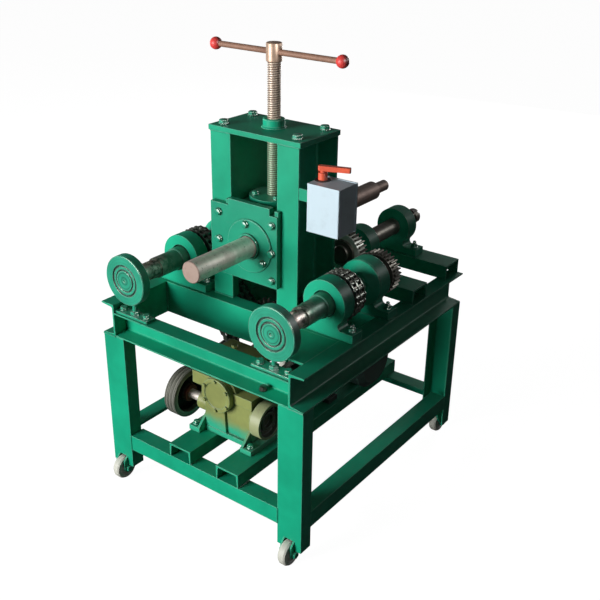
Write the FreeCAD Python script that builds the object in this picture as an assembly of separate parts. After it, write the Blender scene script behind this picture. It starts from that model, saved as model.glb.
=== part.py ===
import FreeCAD, Part
import math
import os

from FreeCAD import Vector

os.makedirs("parts", exist_ok=True)

# Motor-driven three-roller section bender on a wheeled stand.
# Millimetres, +Z up. X runs along the front from left to right, Y to the back.
# Heights are taken from the floor. Depths are taken from the stand's front face
# and moved at export, so that the origin is under the middle of the machine.

X = Vector(1, 0, 0)
Y = Vector(0, 1, 0)
Z = Vector(0, 0, 1)

# Fits and clearances
running_fit = 0.1
sliding_gap = 0.3
groove_gap = 0.4

# Stand
frame_width = 720
frame_depth = 830
leg_width = 80
leg_flange = 43
leg_bottom = 50
bed_bottom = 490
steel_thickness = 6
flange_taper = 0.1
rail_size = 50
rail_thickness = 5
rail_top = 164

# Bed
side_height = 100
side_flange = 48
front_rail_height = 75
front_rail_flange = 50
rail_bolt_x = 214
rail_bolt_y = 24
beam_front_y = 214
tower_front_y = 250
tower_depth = 175
drive_beam_height = 43
drive_beam_depth = 80
drive_beam_length = 682
middle_beam_front_y = 532
middle_beam_length = 704
bed_plate_thickness = 6
bed_plate_width = 160
bed_plate_front_y = 62

# Casters
wheel_radius = 37.5
wheel_width = 24
axle_radius = 6
cheek_thickness = 5
cheek_gap = 1.5
notch_clearance = 5
cheek_reach = 32
cheek_rise = 50

# Tower
tower_width = 300
column_flange = 70
column_web = 8
column_flange_thickness = 10
tower_height = 483
top_plate_thickness = 14
top_plate_overhang = 5
nut_radius = 30
nut_height = 24
window_height = 55
window_margin = 5
weld_size = 5
tower_offset_y = 24

# Press block
block_height = 208
block_bottom = 671
guide_plate_thickness = 18
guide_plate_left = 140
guide_plate_right = 94
guide_plate_rise = 19
guide_plate_raised_right = 68
guide_bolt_left = 110
guide_bolt_right = 77
guide_bolt_pitch = 80
keeper_width = 12
bearing_radius = 55
bearing_length = 40
cover_radius = 77
cover_thickness = 5
cover_bore_radius = 37
cover_bolt_circle = 63
cover_bolt_angles = (100, 211, 322)
collar_radius = 68
collar_height = 20
collar_bolt_circle = 52

# Upper shaft
shaft_radius = 30
shaft_height = 777
upper_front_y = -5
upper_step_y = 855
upper_rear_y = 930
upper_end_radius = 18
ring_groove_gap = 8
ring_groove_width = 3
ring_groove_depth = 1.5

# Press screw and tommy bar
screw_radius = 18
head_radius = 21.5
head_height = 49
screw_top = 1308
bar_radius = 8
bar_drop = 24
bar_offset = 7
bar_length = 400
ball_radius = 17
ball_bar_socket = 10

# Lower rollers
roller_web_gap = 55
disc_radius = 73
disc_thickness = 28
disc_groove_depth = 3
pedestal_radius = 67
pedestal_foot = 94
pedestal_foot_height = 24
pedestal_flare = 12
pedestal_depth = 46
pedestal_bolt = 77
pedestal_front_y = 224
rear_pedestal_front_y = 402
cone_length = 22
cone_radius = 38
shaft_collar_radius = 34
shaft_collar_length = 37
collar_recess_radius = 38
collar_recess_depth = 12
roller_front_radius = 26
roller_step_y = 120
roller_rear_y = 532
left_roller_rear_y = 468

# Roller chain drive
pitch = 19.05
chain_roller_radius = 5.95
chain_plate_height = 18
chain_plate_pack = 4.4
chain_inner_half = 6.5
strand_pitch = 22.78
tooth_width = 11.4
first_strand_y = 291
roller_teeth = 20
output_teeth = 15
idler_teeth = 13
sprocket_hub = 28
idler_x = 5
idler_nominal_height = 540
idler_pin_radius = 10

# Gear pair
gear_module = 4
gear_teeth = 30
gear_face = 30
gear_front_y = 484
gear_plate_thickness = 5
gear_hub_length = 12
gear_hub_wall = 14
gear_backlash = 0.35
gear_line_angle = 163.3
pressure_angle = 20

# Die shaft
die_shaft_radius = 25
die_shaft_front_y = 466
die_shaft_rear_y = 890
die_step_y = 852
die_end_radius = 17
die_nut_radius = 24
die_nut_length = 22
die_pedestal_radius = 57
die_pedestal_foot = 86
die_pedestal_foot_height = 22
die_pedestal_bolt = 68
die_middle_pedestal_y = 544
die_rear_pedestal_y = 758

# Gearbox and motor
base_channel_web = 80
base_channel_flange = 43
base_left_x = -76
base_right_x = 102
output_x = -28
output_height = 347
output_radius = 20
output_rear_y = 332
gearbox_foot_left = -122
gearbox_foot_right = 114
gearbox_foot_height = 16
gearbox_flange = 10
gearbox_lug_width = 40
gearbox_lug_reach = 38
gearbox_front_y = 128
gearbox_depth = 140
case_radius = 61
case_boss_length = 16
case_cover_radius = 54
case_cover_thickness = 8
case_cover_bolt_circle = 47
case_neck_left = 58
case_neck_right = 24
case_neck_rise = 8
ear_reach = 40
ear_depth = 34
ear_height = 40
ear_bottom = 352
turret_half = 60
turret_rise = 16
lid_half = 82
lid_thickness = 12
lid_front_y = 140
lid_margin = 8
plug_x = -65
plug_y = 236
plug_radius = 9
plug_height = 12
input_y = 155
input_height = 281
input_radius = 14
input_boss_radius = 30
input_boss_reach = 31
box_left = -6
box_right = 86
box_depth = 70
box_top = 334
cap_height = 30
ring_height = 299
ring_radius = 54
ring_start = 100
ring_end = 134
ring_rim = 8
ring_recess = 14
ring_hub_radius = 28
ring_eye_radius = 20
ring_eye_depth = 12
ring_bolt_circle = 37
gearbox_rib_height = 36
pulley_radius = 76
motor_pulley_radius = 41
pulley_width = 40
pulley_left = -210
groove_pitch = 12
groove_depth = 9
groove_top = 10
groove_bottom = 7
belt_height = 7
motor_y = 560
motor_height = 350
motor_radius = 90
motor_left = -104
motor_length = 270
motor_ribs = 28
rib_depth = 8
fan_cover_length = 62
motor_foot_length = 190
motor_foot_spread = 200

# Reversing switch
switch_width = 98
switch_depth = 80
switch_height = 127
switch_left = 205
switch_front_y = 210
switch_bottom = 876
switch_wall = 3
handle_post_x = 221
handle_post_y = 256
handle_post_radius = 7
handle_hub_radius = 12
handle_hub_height = 20
handle_post_height = 38
handle_length = 72
handle_width = 15
handle_height = 13
handle_angle = 20
bracket_height = 32
bracket_bottom = 936

# Roll pads
pad_end_gap = 1
pad_length = 124
pad_width = 36
pad_thickness = 8
pad_stud_radius = 7
pad_stud_height = 31
pad_stud_gap = 3
pad_bolt_spread = 90

# Fasteners: across flats, head height
m16 = (24, 10)
m12 = (18, 8)
m10 = (16, 7)
m6 = (10, 5)
washer_height = 3

half_width = frame_width / 2
web_x = half_width - side_flange
roller_x = web_x - roller_web_gap
pad_x = web_x - pad_end_gap - pad_length / 2
bed_top = bed_bottom + side_height
tower_rear_y = tower_front_y + tower_depth
beam_rear_y = tower_rear_y + tower_offset_y
tower_top = bed_top + tower_height
opening_half = tower_width / 2 - column_flange
block_top = block_bottom + block_height
centre_y = (upper_rear_y - wheel_radius) / 2
base_top = rail_top + base_channel_flange
pad_top = bed_bottom + front_rail_height + pad_thickness
roller_height = pad_top + pad_stud_height + pad_stud_gap + disc_radius
bar_height = screw_top - bar_drop


# ---------------------------------------------------------------- helpers

def box(x0, x1, y0, y1, z0, z1):
    return Part.makeBox(x1 - x0, y1 - y0, z1 - z0, Vector(x0, y0, z0))


def rod(radius, start, axis, length):
    return Part.makeCylinder(radius, length, start, axis)


def prism(points, travel):
    wire = Part.makePolygon(list(points) + [points[0]])
    return Part.Face(wire).extrude(travel)


def turned(profile, start, axis, side):
    """Solid of revolution; the profile holds (distance along the axis, radius)."""
    points = [start + axis * along + side * radius for along, radius in profile]
    wire = Part.makePolygon(points + [points[0]])
    return Part.Face(wire).revolve(start, axis, 360)


def fuse(shapes):
    first = shapes[0]
    rest = shapes[1:]
    joined = first.fuse(rest) if rest else first
    return joined.removeSplitter()


def save(name, solids):
    moved = []
    for solid in solids:
        piece = solid.copy()
        piece.translate(Vector(0, -centre_y, 0))
        moved.extend(piece.Solids)
    shape = moved[0] if len(moved) == 1 else Part.makeCompound(moved)
    shape.exportStep("parts/" + name + ".step")


def mirror_x(shape):
    return shape.mirror(Vector(0, 0, 0), X)


def channel(corner, out, up, height, flange, web, travel):
    """Rolled channel: web on the corner line, tapered flanges reaching along out."""
    tip = flange_thickness(flange, flange, web)
    root = flange_thickness(web, flange, web)
    section = [(0, 0), (flange, 0), (flange, tip), (web, root),
               (web, height - root), (flange, height - tip), (flange, height), (0, height)]
    points = [corner + out * u + up * v for u, v in section]
    solid = prism(points, travel)
    roots = [corner + out * web + up * root, corner + out * web + up * (height - root)]
    edges = [edge for edge in solid.Edges if is_along(edge, travel) and starts_near(edge, roots)]
    return solid.makeFillet(web * 0.9, edges)


def flange_thickness(reach, flange, web):
    """Thickness of a rolled channel's flange at a reach from the back of its web."""
    return web + flange_taper * ((flange + web) / 2 - reach)


def is_along(edge, travel):
    first = edge.Vertexes[0].Point
    last = edge.Vertexes[-1].Point
    return abs((last - first).getAngle(travel) % math.pi) < 0.01 or first.distanceToPoint(last) == 0


def starts_near(edge, points):
    ends = [vertex.Point for vertex in edge.Vertexes]
    return any(end.distanceToPoint(point) < 0.01 for end in ends for point in points)


def angle_bar(corner, out, up, size, thickness, travel):
    section = [(0, 0), (size, 0), (size, thickness), (thickness, thickness), (thickness, size), (0, size)]
    points = [corner + out * u + up * v for u, v in section]
    return prism(points, travel)


def hexagon(centre, axis, side, across, height):
    radius = across / math.sqrt(3)
    other = axis.cross(side)
    points = []
    for corner in range(6):
        turn = math.radians(60 * corner)
        points.append(centre + side * (radius * math.cos(turn)) + other * (radius * math.sin(turn)))
    return prism(points, axis * height)


def capscrew(seat, axis, side, size):
    """Hexagon head and its washer, standing on the seat."""
    across, height = size
    washer = rod(across * 0.6, seat, axis, washer_height)
    head = hexagon(seat + axis * washer_height, axis, side, across, height)
    return fuse([washer, head])


# ---------------------------------------------------------------- chain route

def pitch_radius(teeth):
    return pitch / (2 * math.sin(math.pi / teeth))


def route(stops, offset):
    """Closed path round the sprockets, as (start, end, centre, turn) in X and Z.

    A stop is (x, z, teeth, sense): sense is 1 where the chain bends round its
    inside and -1 where a wheel bears on its back."""
    spans = []
    count = len(stops)
    for index in range(count):
        x0, z0, teeth0, sense0 = stops[index]
        x1, z1, teeth1, sense1 = stops[(index + 1) % count]
        reach0 = sense0 * pitch_radius(teeth0) + offset
        reach1 = sense1 * pitch_radius(teeth1) + offset
        gap = math.hypot(x1 - x0, z1 - z0)
        rise = reach1 - reach0
        run = math.sqrt(gap * gap - rise * rise)
        heading = math.atan2(z1 - z0, x1 - x0) - math.atan2(rise, run)
        normal = (-math.sin(heading), math.cos(heading))
        start = (x0 - reach0 * normal[0], z0 - reach0 * normal[1])
        end = (x1 - reach1 * normal[0], z1 - reach1 * normal[1])
        spans.append((start, end, heading, run))
    return spans


def wrap_angle(before, after, sense):
    turn = (after - before) * sense
    return turn % (2 * math.pi)


def pitches(stops):
    """Length of the chain in pitches, counting teeth round each sprocket."""
    spans = route(stops, 0)
    total = 0
    for index in range(len(spans)):
        total += spans[index][3] / pitch
        after = spans[(index + 1) % len(spans)][2]
        teeth = stops[(index + 1) % len(stops)][2]
        sense = stops[(index + 1) % len(stops)][3]
        total += wrap_angle(spans[index][2], after, sense) * teeth / (2 * math.pi)
    return total


def chain_stops(idler_height):
    return [(output_x, output_height, output_teeth, 1),
            (roller_x, roller_height, roller_teeth, 1),
            (idler_x, idler_height, idler_teeth, -1),
            (-roller_x, roller_height, roller_teeth, 1)]


def idler_seat():
    """The height at which the idler takes up a whole, even number of pitches."""
    links = 2 * round(pitches(chain_stops(idler_nominal_height)) / 2)
    low = idler_nominal_height - 40
    high = idler_nominal_height + 40
    for _ in range(50):
        middle = (low + high) / 2
        if pitches(chain_stops(middle)) > links:
            low = middle
        else:
            high = middle
    return (low + high) / 2


idler_height = idler_seat()


def first_pin_angles():
    """Angle of one chain pin on each sprocket, so that its teeth sit between pins."""
    stops = chain_stops(idler_height)
    spans = route(stops, 0)
    angles = []
    travelled = 0
    for index in range(len(stops)):
        heading = spans[index - 1][2]
        sense = stops[index][3]
        arrive = heading - sense * math.pi / 2
        ahead = (-travelled) % 1
        step = 2 * math.pi / stops[index][2]
        angles.append(arrive + sense * ahead * step)
        wrap = wrap_angle(heading, spans[index][2], sense)
        travelled += wrap / step + spans[index][3] / pitch
    return angles


pin_angles = first_pin_angles()


def closed_wire(offset, y):
    stops = chain_stops(idler_height)
    spans = route(stops, offset)
    edges = []
    for index in range(len(spans)):
        start, end, heading, _ = spans[index]
        edges.append(Part.makeLine(Vector(start[0], y, start[1]), Vector(end[0], y, end[1])))
        after_start, _, after, _ = spans[(index + 1) % len(spans)]
        x, z, teeth, sense = stops[(index + 1) % len(stops)]
        reach = sense * pitch_radius(teeth) + offset
        half = heading + sense * wrap_angle(heading, after, sense) / 2
        middle = Vector(x + reach * math.sin(half), y, z - reach * math.cos(half))
        arc = Part.Arc(Vector(end[0], y, end[1]), middle, Vector(after_start[0], y, after_start[1]))
        edges.append(arc.toShape())
    return Part.Wire(edges)


def chain_band(y, width):
    """Link plates of one side of a strand, as a closed band."""
    outer = Part.Face(closed_wire(chain_plate_height / 2, y))
    inner = Part.Face(closed_wire(-chain_plate_height / 2, y))
    return outer.cut(inner).Faces[0].extrude(Y * width)


def sprocket_row(x, z, y, teeth, pin_angle):
    """Toothed disc, with a seat for a chain roller in each gap."""
    radius = pitch_radius(teeth)
    tip_radius = pitch * (0.6 + 1 / math.tan(math.pi / teeth)) / 2
    seat = chain_roller_radius + running_fit
    step = 2 * math.pi / teeth
    tip_half = 0.1 * step
    edges = []
    previous = None
    first = None
    for tooth in range(teeth):
        turn = pin_angle + tooth * step
        pin = Vector(x + radius * math.cos(turn), y, z + radius * math.sin(turn))

        def on_seat(swing):
            return pin + Vector(-math.cos(turn + swing), 0, -math.sin(turn + swing)) * seat

        def on_tip(swing):
            return Vector(x + tip_radius * math.cos(turn + swing), y, z + tip_radius * math.sin(turn + swing))

        low = on_seat(math.radians(62))
        bottom = on_seat(0)
        high = on_seat(math.radians(-62))
        tip_in = on_tip(-step / 2 + tip_half)
        tip_out = on_tip(step / 2 - tip_half)
        if previous is None:
            first = tip_in
        else:
            edges.append(Part.makeLine(previous, tip_in))
        edges.append(Part.makeLine(tip_in, low))
        edges.append(Part.Arc(low, bottom, high).toShape())
        edges.append(Part.makeLine(high, tip_out))
        previous = tip_out
    edges.append(Part.makeLine(previous, first))
    return Part.Face(Part.Wire(edges)).extrude(Y * tooth_width)


def duplex_sprocket(x, z, teeth, pin_angle, hub_radius, bore):
    front = first_strand_y - tooth_width / 2
    rear = first_strand_y + strand_pitch - tooth_width / 2
    rows = [sprocket_row(x, z, y, teeth, pin_angle) for y in (front, rear)]
    hub_length = strand_pitch + tooth_width + 8
    hub = rod(hub_radius, Vector(x, front - 4, z), Y, hub_length)
    blank = fuse(rows + [hub])
    return blank.cut(rod(bore, Vector(x, front - 5, z), Y, hub_length + 2))


# ---------------------------------------------------------------- stand

def leg(left, rear):
    x = -half_width if left else half_width - leg_width
    y = frame_depth if rear else 0
    out = Y * (-1 if rear else 1)
    body = channel(Vector(x, y, leg_bottom), out, X, leg_width, leg_flange, steel_thickness,
                   Z * (bed_bottom - leg_bottom))
    middle = x + leg_width / 2
    half = wheel_width / 2 + cheek_gap + cheek_thickness
    top = 2 * wheel_radius + notch_clearance
    web_y = y - steel_thickness if rear else y
    return body.cut(box(middle - half, middle + half, web_y - 1, web_y + steel_thickness + 1,
                        leg_bottom - 1, top))


def leg_middle(left):
    return (-1 if left else 1) * (half_width - leg_width / 2)


def caster_fork(left, rear):
    """Two cheeks welded in the leg's notch, and the axle bolt through them."""
    middle = leg_middle(left)
    y = frame_depth if rear else 0
    back = -1 if rear else 1
    notch_top = 2 * wheel_radius + notch_clearance
    eye = 2.4 * axle_radius
    solids = []
    for side in (-1, 1):
        inner = middle + side * (wheel_width / 2 + cheek_gap)
        start = inner if side > 0 else inner - cheek_thickness

        def at(depth, height):
            return Vector(start, y + back * depth, height)

        behind = steel_thickness
        edges = Part.makePolygon([at(eye, wheel_radius), at(behind + cheek_reach, notch_top - 8),
                                  at(behind + cheek_reach, leg_bottom + cheek_rise),
                                  at(behind, leg_bottom + cheek_rise), at(behind, notch_top),
                                  at(0, notch_top), at(-eye, notch_top - eye), at(-eye, wheel_radius)])
        round_end = Part.Arc(at(-eye, wheel_radius), at(0, wheel_radius - eye), at(eye, wheel_radius))
        face = Part.Face(Part.Wire(edges.Edges + [round_end.toShape()]))
        cheek = face.extrude(X * cheek_thickness)
        hole = rod(axle_radius, Vector(start - 1, y, wheel_radius), X, cheek_thickness + 2)
        solids.append(cheek.cut(hole))
    outer = wheel_width / 2 + cheek_gap + cheek_thickness
    axle = rod(axle_radius, Vector(middle - outer, y, wheel_radius), X, 2 * outer)
    head = hexagon(Vector(middle + outer, y, wheel_radius), X, Z, m12[0], m12[1])
    nut = hexagon(Vector(middle - outer - m12[1], y, wheel_radius), X, Z, m12[0], m12[1])
    solids.append(fuse([axle, head, nut]))
    return solids


def caster_wheel(left, rear):
    middle = leg_middle(left)
    y = frame_depth if rear else 0
    half = wheel_width / 2
    bore = axle_radius + running_fit
    hub_half = half + cheek_gap - 0.4
    profile = [(-hub_half, bore), (-hub_half, 13), (-half + 3, 14), (-half + 3, wheel_radius - 11),
               (-half, wheel_radius - 9), (-half, wheel_radius - 3), (-half + 5, wheel_radius),
               (half - 5, wheel_radius), (half, wheel_radius - 3), (half, wheel_radius - 9),
               (half - 3, wheel_radius - 11), (half - 3, 14), (hub_half, 13), (hub_half, bore)]
    return turned(profile, Vector(middle, y, wheel_radius), X, Z)


def bottom_rail(place):
    top = Vector(0, 0, rail_top)
    inside = half_width - leg_width
    if place in ("front", "rear"):
        y = 0 if place == "front" else frame_depth
        inward = Y if place == "front" else -Y
        corner = top + Vector(-inside, y, 0)
        return angle_bar(corner, inward, -Z, rail_size, rail_thickness, X * (2 * inside))
    x = -half_width if place == "left" else half_width
    inward = X if place == "left" else -X
    corner = top + Vector(x, leg_flange, 0)
    return angle_bar(corner, inward, -Z, rail_size, rail_thickness, Y * (frame_depth - 2 * leg_flange))


def side_channel():
    return channel(Vector(web_x, 0, bed_bottom), X, Z, side_height, side_flange, steel_thickness,
                   Y * frame_depth)


def front_rail():
    return channel(Vector(-web_x, front_rail_flange, bed_bottom), -Y, Z, front_rail_height,
                   front_rail_flange, steel_thickness, X * (2 * web_x))


def cross_beams():
    length = X * (2 * web_x)
    front = channel(Vector(-web_x, beam_front_y, bed_bottom), Y, Z, side_height, side_flange,
                    steel_thickness, length)
    rear = channel(Vector(-web_x, beam_rear_y, bed_bottom), -Y, Z, side_height, side_flange,
                   steel_thickness, length)
    return [front, rear]


def drive_beam(front_y, length):
    """Channel laid web up across the side channels."""
    corner = Vector(-length / 2, front_y, bed_top + drive_beam_height)
    return channel(corner, -Z, Y, drive_beam_depth, drive_beam_height, steel_thickness, X * length)


def bed_plate():
    return box(web_x - bed_plate_width, web_x, bed_plate_front_y, beam_front_y,
               bed_top - bed_plate_thickness, bed_top)


def base_channels():
    solids = []
    for middle in (base_left_x, base_right_x):
        corner = Vector(middle - base_channel_web / 2, 0, base_top)
        solids.append(channel(corner, -Z, X, base_channel_web, base_channel_flange, rail_thickness,
                              Y * frame_depth))
    return solids


# ---------------------------------------------------------------- tower and press block

def tower_columns():
    """Columns with a window in each web, where the drive chain goes through."""
    right = channel(Vector(opening_half, tower_front_y, bed_top), X, Y, tower_depth, column_flange,
                    column_web, Z * tower_height)
    chain_front = first_strand_y - chain_inner_half - chain_plate_pack
    chain_rear = first_strand_y + strand_pitch + chain_inner_half + chain_plate_pack
    window = box(opening_half - 1, opening_half + column_web + 8, chain_front - window_margin,
                 chain_rear + window_margin, bed_top - 1, bed_top + window_height)
    column = right.cut(window)
    return [mirror_x(column), column]


def top_plate():
    half = tower_width / 2 + top_plate_overhang
    plate = box(-half, half, tower_front_y - 2, tower_rear_y + 2, tower_top, tower_top + top_plate_thickness)
    hole = rod(nut_radius, Vector(0, tower_middle_y, tower_top - 1), Z, top_plate_thickness + 2)
    return plate.cut(hole)


tower_middle_y = tower_front_y + tower_depth / 2
guide_front_y = tower_front_y - sliding_gap - guide_plate_thickness
guide_rear_y = tower_rear_y + sliding_gap + guide_plate_thickness
guide_bolt_middle = block_bottom + block_height / 2 - 2


def screw_nut():
    """Bronze-bushed nut let into the top plate, with a weld bead round it."""
    base = top_plate_thickness
    top = base + nut_height
    bore = screw_radius + running_fit
    profile = [(0, bore), (0, nut_radius), (base, nut_radius), (base, nut_radius + weld_size),
               (base + weld_size, nut_radius), (top - 2, nut_radius), (top, nut_radius - 2), (top, bore)]
    return turned(profile, Vector(0, tower_middle_y, tower_top), Z, X)


def block_body():
    half = opening_half - sliding_gap
    body = box(-half, half, tower_front_y - sliding_gap, tower_rear_y + sliding_gap,
               block_bottom, block_top)
    axis_start = Vector(0, tower_front_y - 5, shaft_height)
    through = rod(cover_bore_radius, axis_start, Y, tower_depth + 10)
    front_seat = rod(bearing_radius, axis_start, Y, 5 - sliding_gap + bearing_length)
    rear_seat = rod(bearing_radius, Vector(0, tower_rear_y + sliding_gap - bearing_length, shaft_height), Y,
                    bearing_length + 5)
    screw_seat = rod(screw_radius + 3, Vector(0, tower_middle_y, block_top - 12), Z, 13)
    return body.cut([through, front_seat, rear_seat, screw_seat])


def block_bearings():
    """Outer sleeve of each bearing; the shaft turns in it."""
    bore = shaft_radius + running_fit
    solids = []
    for start in (tower_front_y - sliding_gap, tower_rear_y + sliding_gap - bearing_length):
        profile = [(0, bore), (0, bearing_radius), (bearing_length, bearing_radius), (bearing_length, bore)]
        solids.append(turned(profile, Vector(0, start, shaft_height), Y, X))
    return solids


def guide_plate(front):
    """Plate that slides on the column flanges, with a raised middle."""
    near = guide_front_y if front else tower_rear_y + sliding_gap
    plate = box(-guide_plate_left, guide_plate_right, near, near + guide_plate_thickness,
                block_bottom, block_top)
    raised = box(-opening_half + 4, guide_plate_raised_right, near, near + guide_plate_thickness,
                 block_top - 1, block_top + guide_plate_rise)
    hole = rod(bearing_radius, Vector(0, near - 1, shaft_height), Y, guide_plate_thickness + 2)
    return fuse([plate, raised]).cut(hole)


def keeper_strip(left):
    """Gib beside the raised middle, standing a little above the plate."""
    x = -opening_half + 4 - keeper_width if left else guide_plate_right - keeper_width
    return box(x, x + keeper_width, guide_front_y + 5, guide_front_y + guide_plate_thickness,
               block_top, block_top + guide_plate_rise - 5)


def block_cover(front):
    """Bearing cover with a spigot in the plate, notched beside the nearest plate bolt."""
    start = Vector(0, guide_front_y if front else guide_rear_y, shaft_height)
    axis = -Y if front else Y
    inside = guide_plate_thickness
    spigot = bearing_radius - sliding_gap
    profile = [(-inside, cover_bore_radius), (-inside, spigot), (0, spigot), (0, cover_radius),
               (cover_thickness - 2, cover_radius), (cover_thickness, cover_radius - 2),
               (cover_thickness, cover_bore_radius)]
    cover = turned(profile, start, axis, X)
    notch = rod(m12[0] * 0.6 + 1, Vector(guide_bolt_right, start.y, guide_bolt_middle) - axis, axis,
                cover_thickness + 2)
    return cover.cut(notch)


def block_bolts():
    solids = []
    for y, axis in ((guide_front_y, -Y), (guide_rear_y, Y)):
        for x in (-guide_bolt_left, guide_bolt_right):
            for row in (-1, 0, 1):
                solids.append(capscrew(Vector(x, y, guide_bolt_middle + row * guide_bolt_pitch), axis, Z, m12))
        for angle in cover_bolt_angles:
            turn = math.radians(angle)
            seat = Vector(cover_bolt_circle * math.cos(turn), y,
                          shaft_height + cover_bolt_circle * math.sin(turn))
            solids.append(capscrew(seat + axis * cover_thickness, axis, Z, m12))
    for corner in range(4):
        turn = math.radians(45 + 90 * corner)
        seat = Vector(collar_bolt_circle * math.cos(turn), tower_middle_y + collar_bolt_circle * math.sin(turn),
                      block_top + collar_height)
        solids.append(capscrew(seat, Z, X, m10))
    return solids


def screw_collar():
    """Ring that holds the screw's flange down on the block."""
    bore = screw_radius + running_fit
    recess = screw_radius + 10
    profile = [(0, recess), (0, collar_radius), (collar_height, collar_radius), (collar_height, bore),
               (9, bore), (9, recess)]
    return turned(profile, Vector(0, tower_middle_y, block_top), Z, X)


def upper_shaft():
    """Stepped shaft with a retaining-ring groove just in front of the bearing cover."""
    groove_end = guide_front_y - cover_thickness - ring_groove_gap - upper_front_y
    groove_start = groove_end - ring_groove_width
    groove_radius = shaft_radius - ring_groove_depth
    profile = [(0, 0), (0, shaft_radius - 2), (2, shaft_radius), (groove_start, shaft_radius),
               (groove_start, groove_radius), (groove_end, groove_radius), (groove_end, shaft_radius),
               (upper_step_y - upper_front_y, shaft_radius),
               (upper_step_y - upper_front_y, upper_end_radius),
               (upper_rear_y - upper_front_y - 2, upper_end_radius),
               (upper_rear_y - upper_front_y, upper_end_radius - 2), (upper_rear_y - upper_front_y, 0)]
    return turned(profile, Vector(0, upper_front_y, shaft_height), Y, X)


def press_screw():
    """Screw with its thrust flange in the collar and a cross-drilled head."""
    foot = block_top - 12 + sliding_gap
    flange_low = block_top + sliding_gap
    flange_high = block_top + 9 - sliding_gap
    flange_radius = screw_radius + 10 - sliding_gap
    head_low = screw_top - head_height
    profile = [(0, 0), (0, screw_radius), (flange_low - foot, screw_radius),
               (flange_low - foot, flange_radius), (flange_high - foot, flange_radius),
               (flange_high - foot, screw_radius), (head_low - foot, screw_radius),
               (head_low - foot, head_radius - 2), (head_low - foot + 2, head_radius),
               (screw_top - foot - 3, head_radius), (screw_top - foot, head_radius - 3),
               (screw_top - foot, 0)]
    body = turned(profile, Vector(0, tower_middle_y, foot), Z, X)
    hole = rod(bar_radius + running_fit, Vector(-head_radius - 5, tower_middle_y, bar_height), X,
               2 * head_radius + 10)
    return body.cut(hole)


def tommy_bar():
    start = Vector(bar_offset - bar_length / 2, tower_middle_y, bar_height)
    return rod(bar_radius, start, X, bar_length)


def tommy_balls():
    solids = []
    for side in (-1, 1):
        end = bar_offset + side * bar_length / 2
        centre = Vector(end + side * (ball_radius - ball_bar_socket), tower_middle_y, bar_height)
        ball = Part.makeSphere(ball_radius, centre, X * side)
        mouth = Vector(end - side * ball_radius, tower_middle_y, bar_height)
        socket = rod(bar_radius + running_fit, mouth, X * side, ball_radius)
        solids.append(ball.cut(socket))
    return solids


# ---------------------------------------------------------------- rollers

def pedestal(x, front_y, axis_z, base_z, head, foot, foot_height, flare, depth, bore):
    """Cast pillow block: round head, concave flares down to a bolted foot."""
    rise = axis_z - base_z
    reach = head + flare
    drop = rise - foot_height - flare
    flare_x = math.sqrt(reach * reach - drop * drop)
    share = head / reach
    touch = (flare_x * share, rise - drop * share)

    def at(side, along, height):
        return Vector(x + side * along, front_y, base_z + height)

    def flare_arc(side):
        centre = (flare_x, foot_height + flare)
        low = (flare_x, foot_height)
        half = math.atan2(touch[1] - centre[1], touch[0] - centre[0])
        middle_turn = (half + 1.5 * math.pi) / 2
        middle = (centre[0] + flare * math.cos(middle_turn), centre[1] + flare * math.sin(middle_turn))
        return Part.Arc(at(side, *low), at(side, *middle), at(side, *touch)).toShape()

    right_side = flare_arc(1)
    left_side = flare_arc(-1)
    crown = Part.Arc(at(1, *touch), at(1, 0, rise + head), at(-1, *touch)).toShape()
    floor = Part.makePolygon([at(-1, flare_x, foot_height), at(-1, foot, foot_height), at(-1, foot, 0),
                              at(1, foot, 0), at(1, foot, foot_height), at(1, flare_x, foot_height)])
    wire = Part.Wire(Part.sortEdges(floor.Edges + [right_side, left_side, crown])[0])
    body = Part.Face(wire).extrude(Y * depth)
    hole = rod(bore, Vector(x, front_y - 1, axis_z), Y, depth + 2)
    return body.cut(hole)


def roller_pedestals(x):
    """Front block, recessed for the shaft's collar, and rear block with a conical cap in front."""
    bore = shaft_radius + running_fit
    blocks = [pedestal(x, y, roller_height, bed_top, pedestal_radius, pedestal_foot,
                       pedestal_foot_height, pedestal_flare, pedestal_depth, bore)
              for y in (pedestal_front_y, rear_pedestal_front_y)]
    recess_start = Vector(x, pedestal_front_y - 1, roller_height)
    blocks[0] = blocks[0].cut(rod(collar_recess_radius, recess_start, Y, collar_recess_depth + 1))
    profile = [(0, bore), (0, pedestal_radius - 1), (5, pedestal_radius - 1), (7, pedestal_radius - 4),
               (cone_length, cone_radius), (cone_length, bore)]
    blocks.append(turned(profile, Vector(x, rear_pedestal_front_y, roller_height), -Y, X))
    return blocks


def roller_disc(x):
    """Turned end disc with two ring grooves and a centre mark in its face."""
    groove = disc_groove_depth
    profile = [(groove, 0), (groove, 3), (0, 5), (0, 29), (groove, 30), (groove, 33), (1, 34),
               (1, 41), (groove, 42), (groove, 46), (0, 47), (0, disc_radius - 2), (2, disc_radius),
               (disc_thickness - 2, disc_radius), (disc_thickness, disc_radius - 2),
               (disc_thickness, roller_front_radius), (disc_thickness - 14, roller_front_radius),
               (disc_thickness - 14, 0)]
    return turned(profile, Vector(x, 0, roller_height), Y, X)


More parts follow.
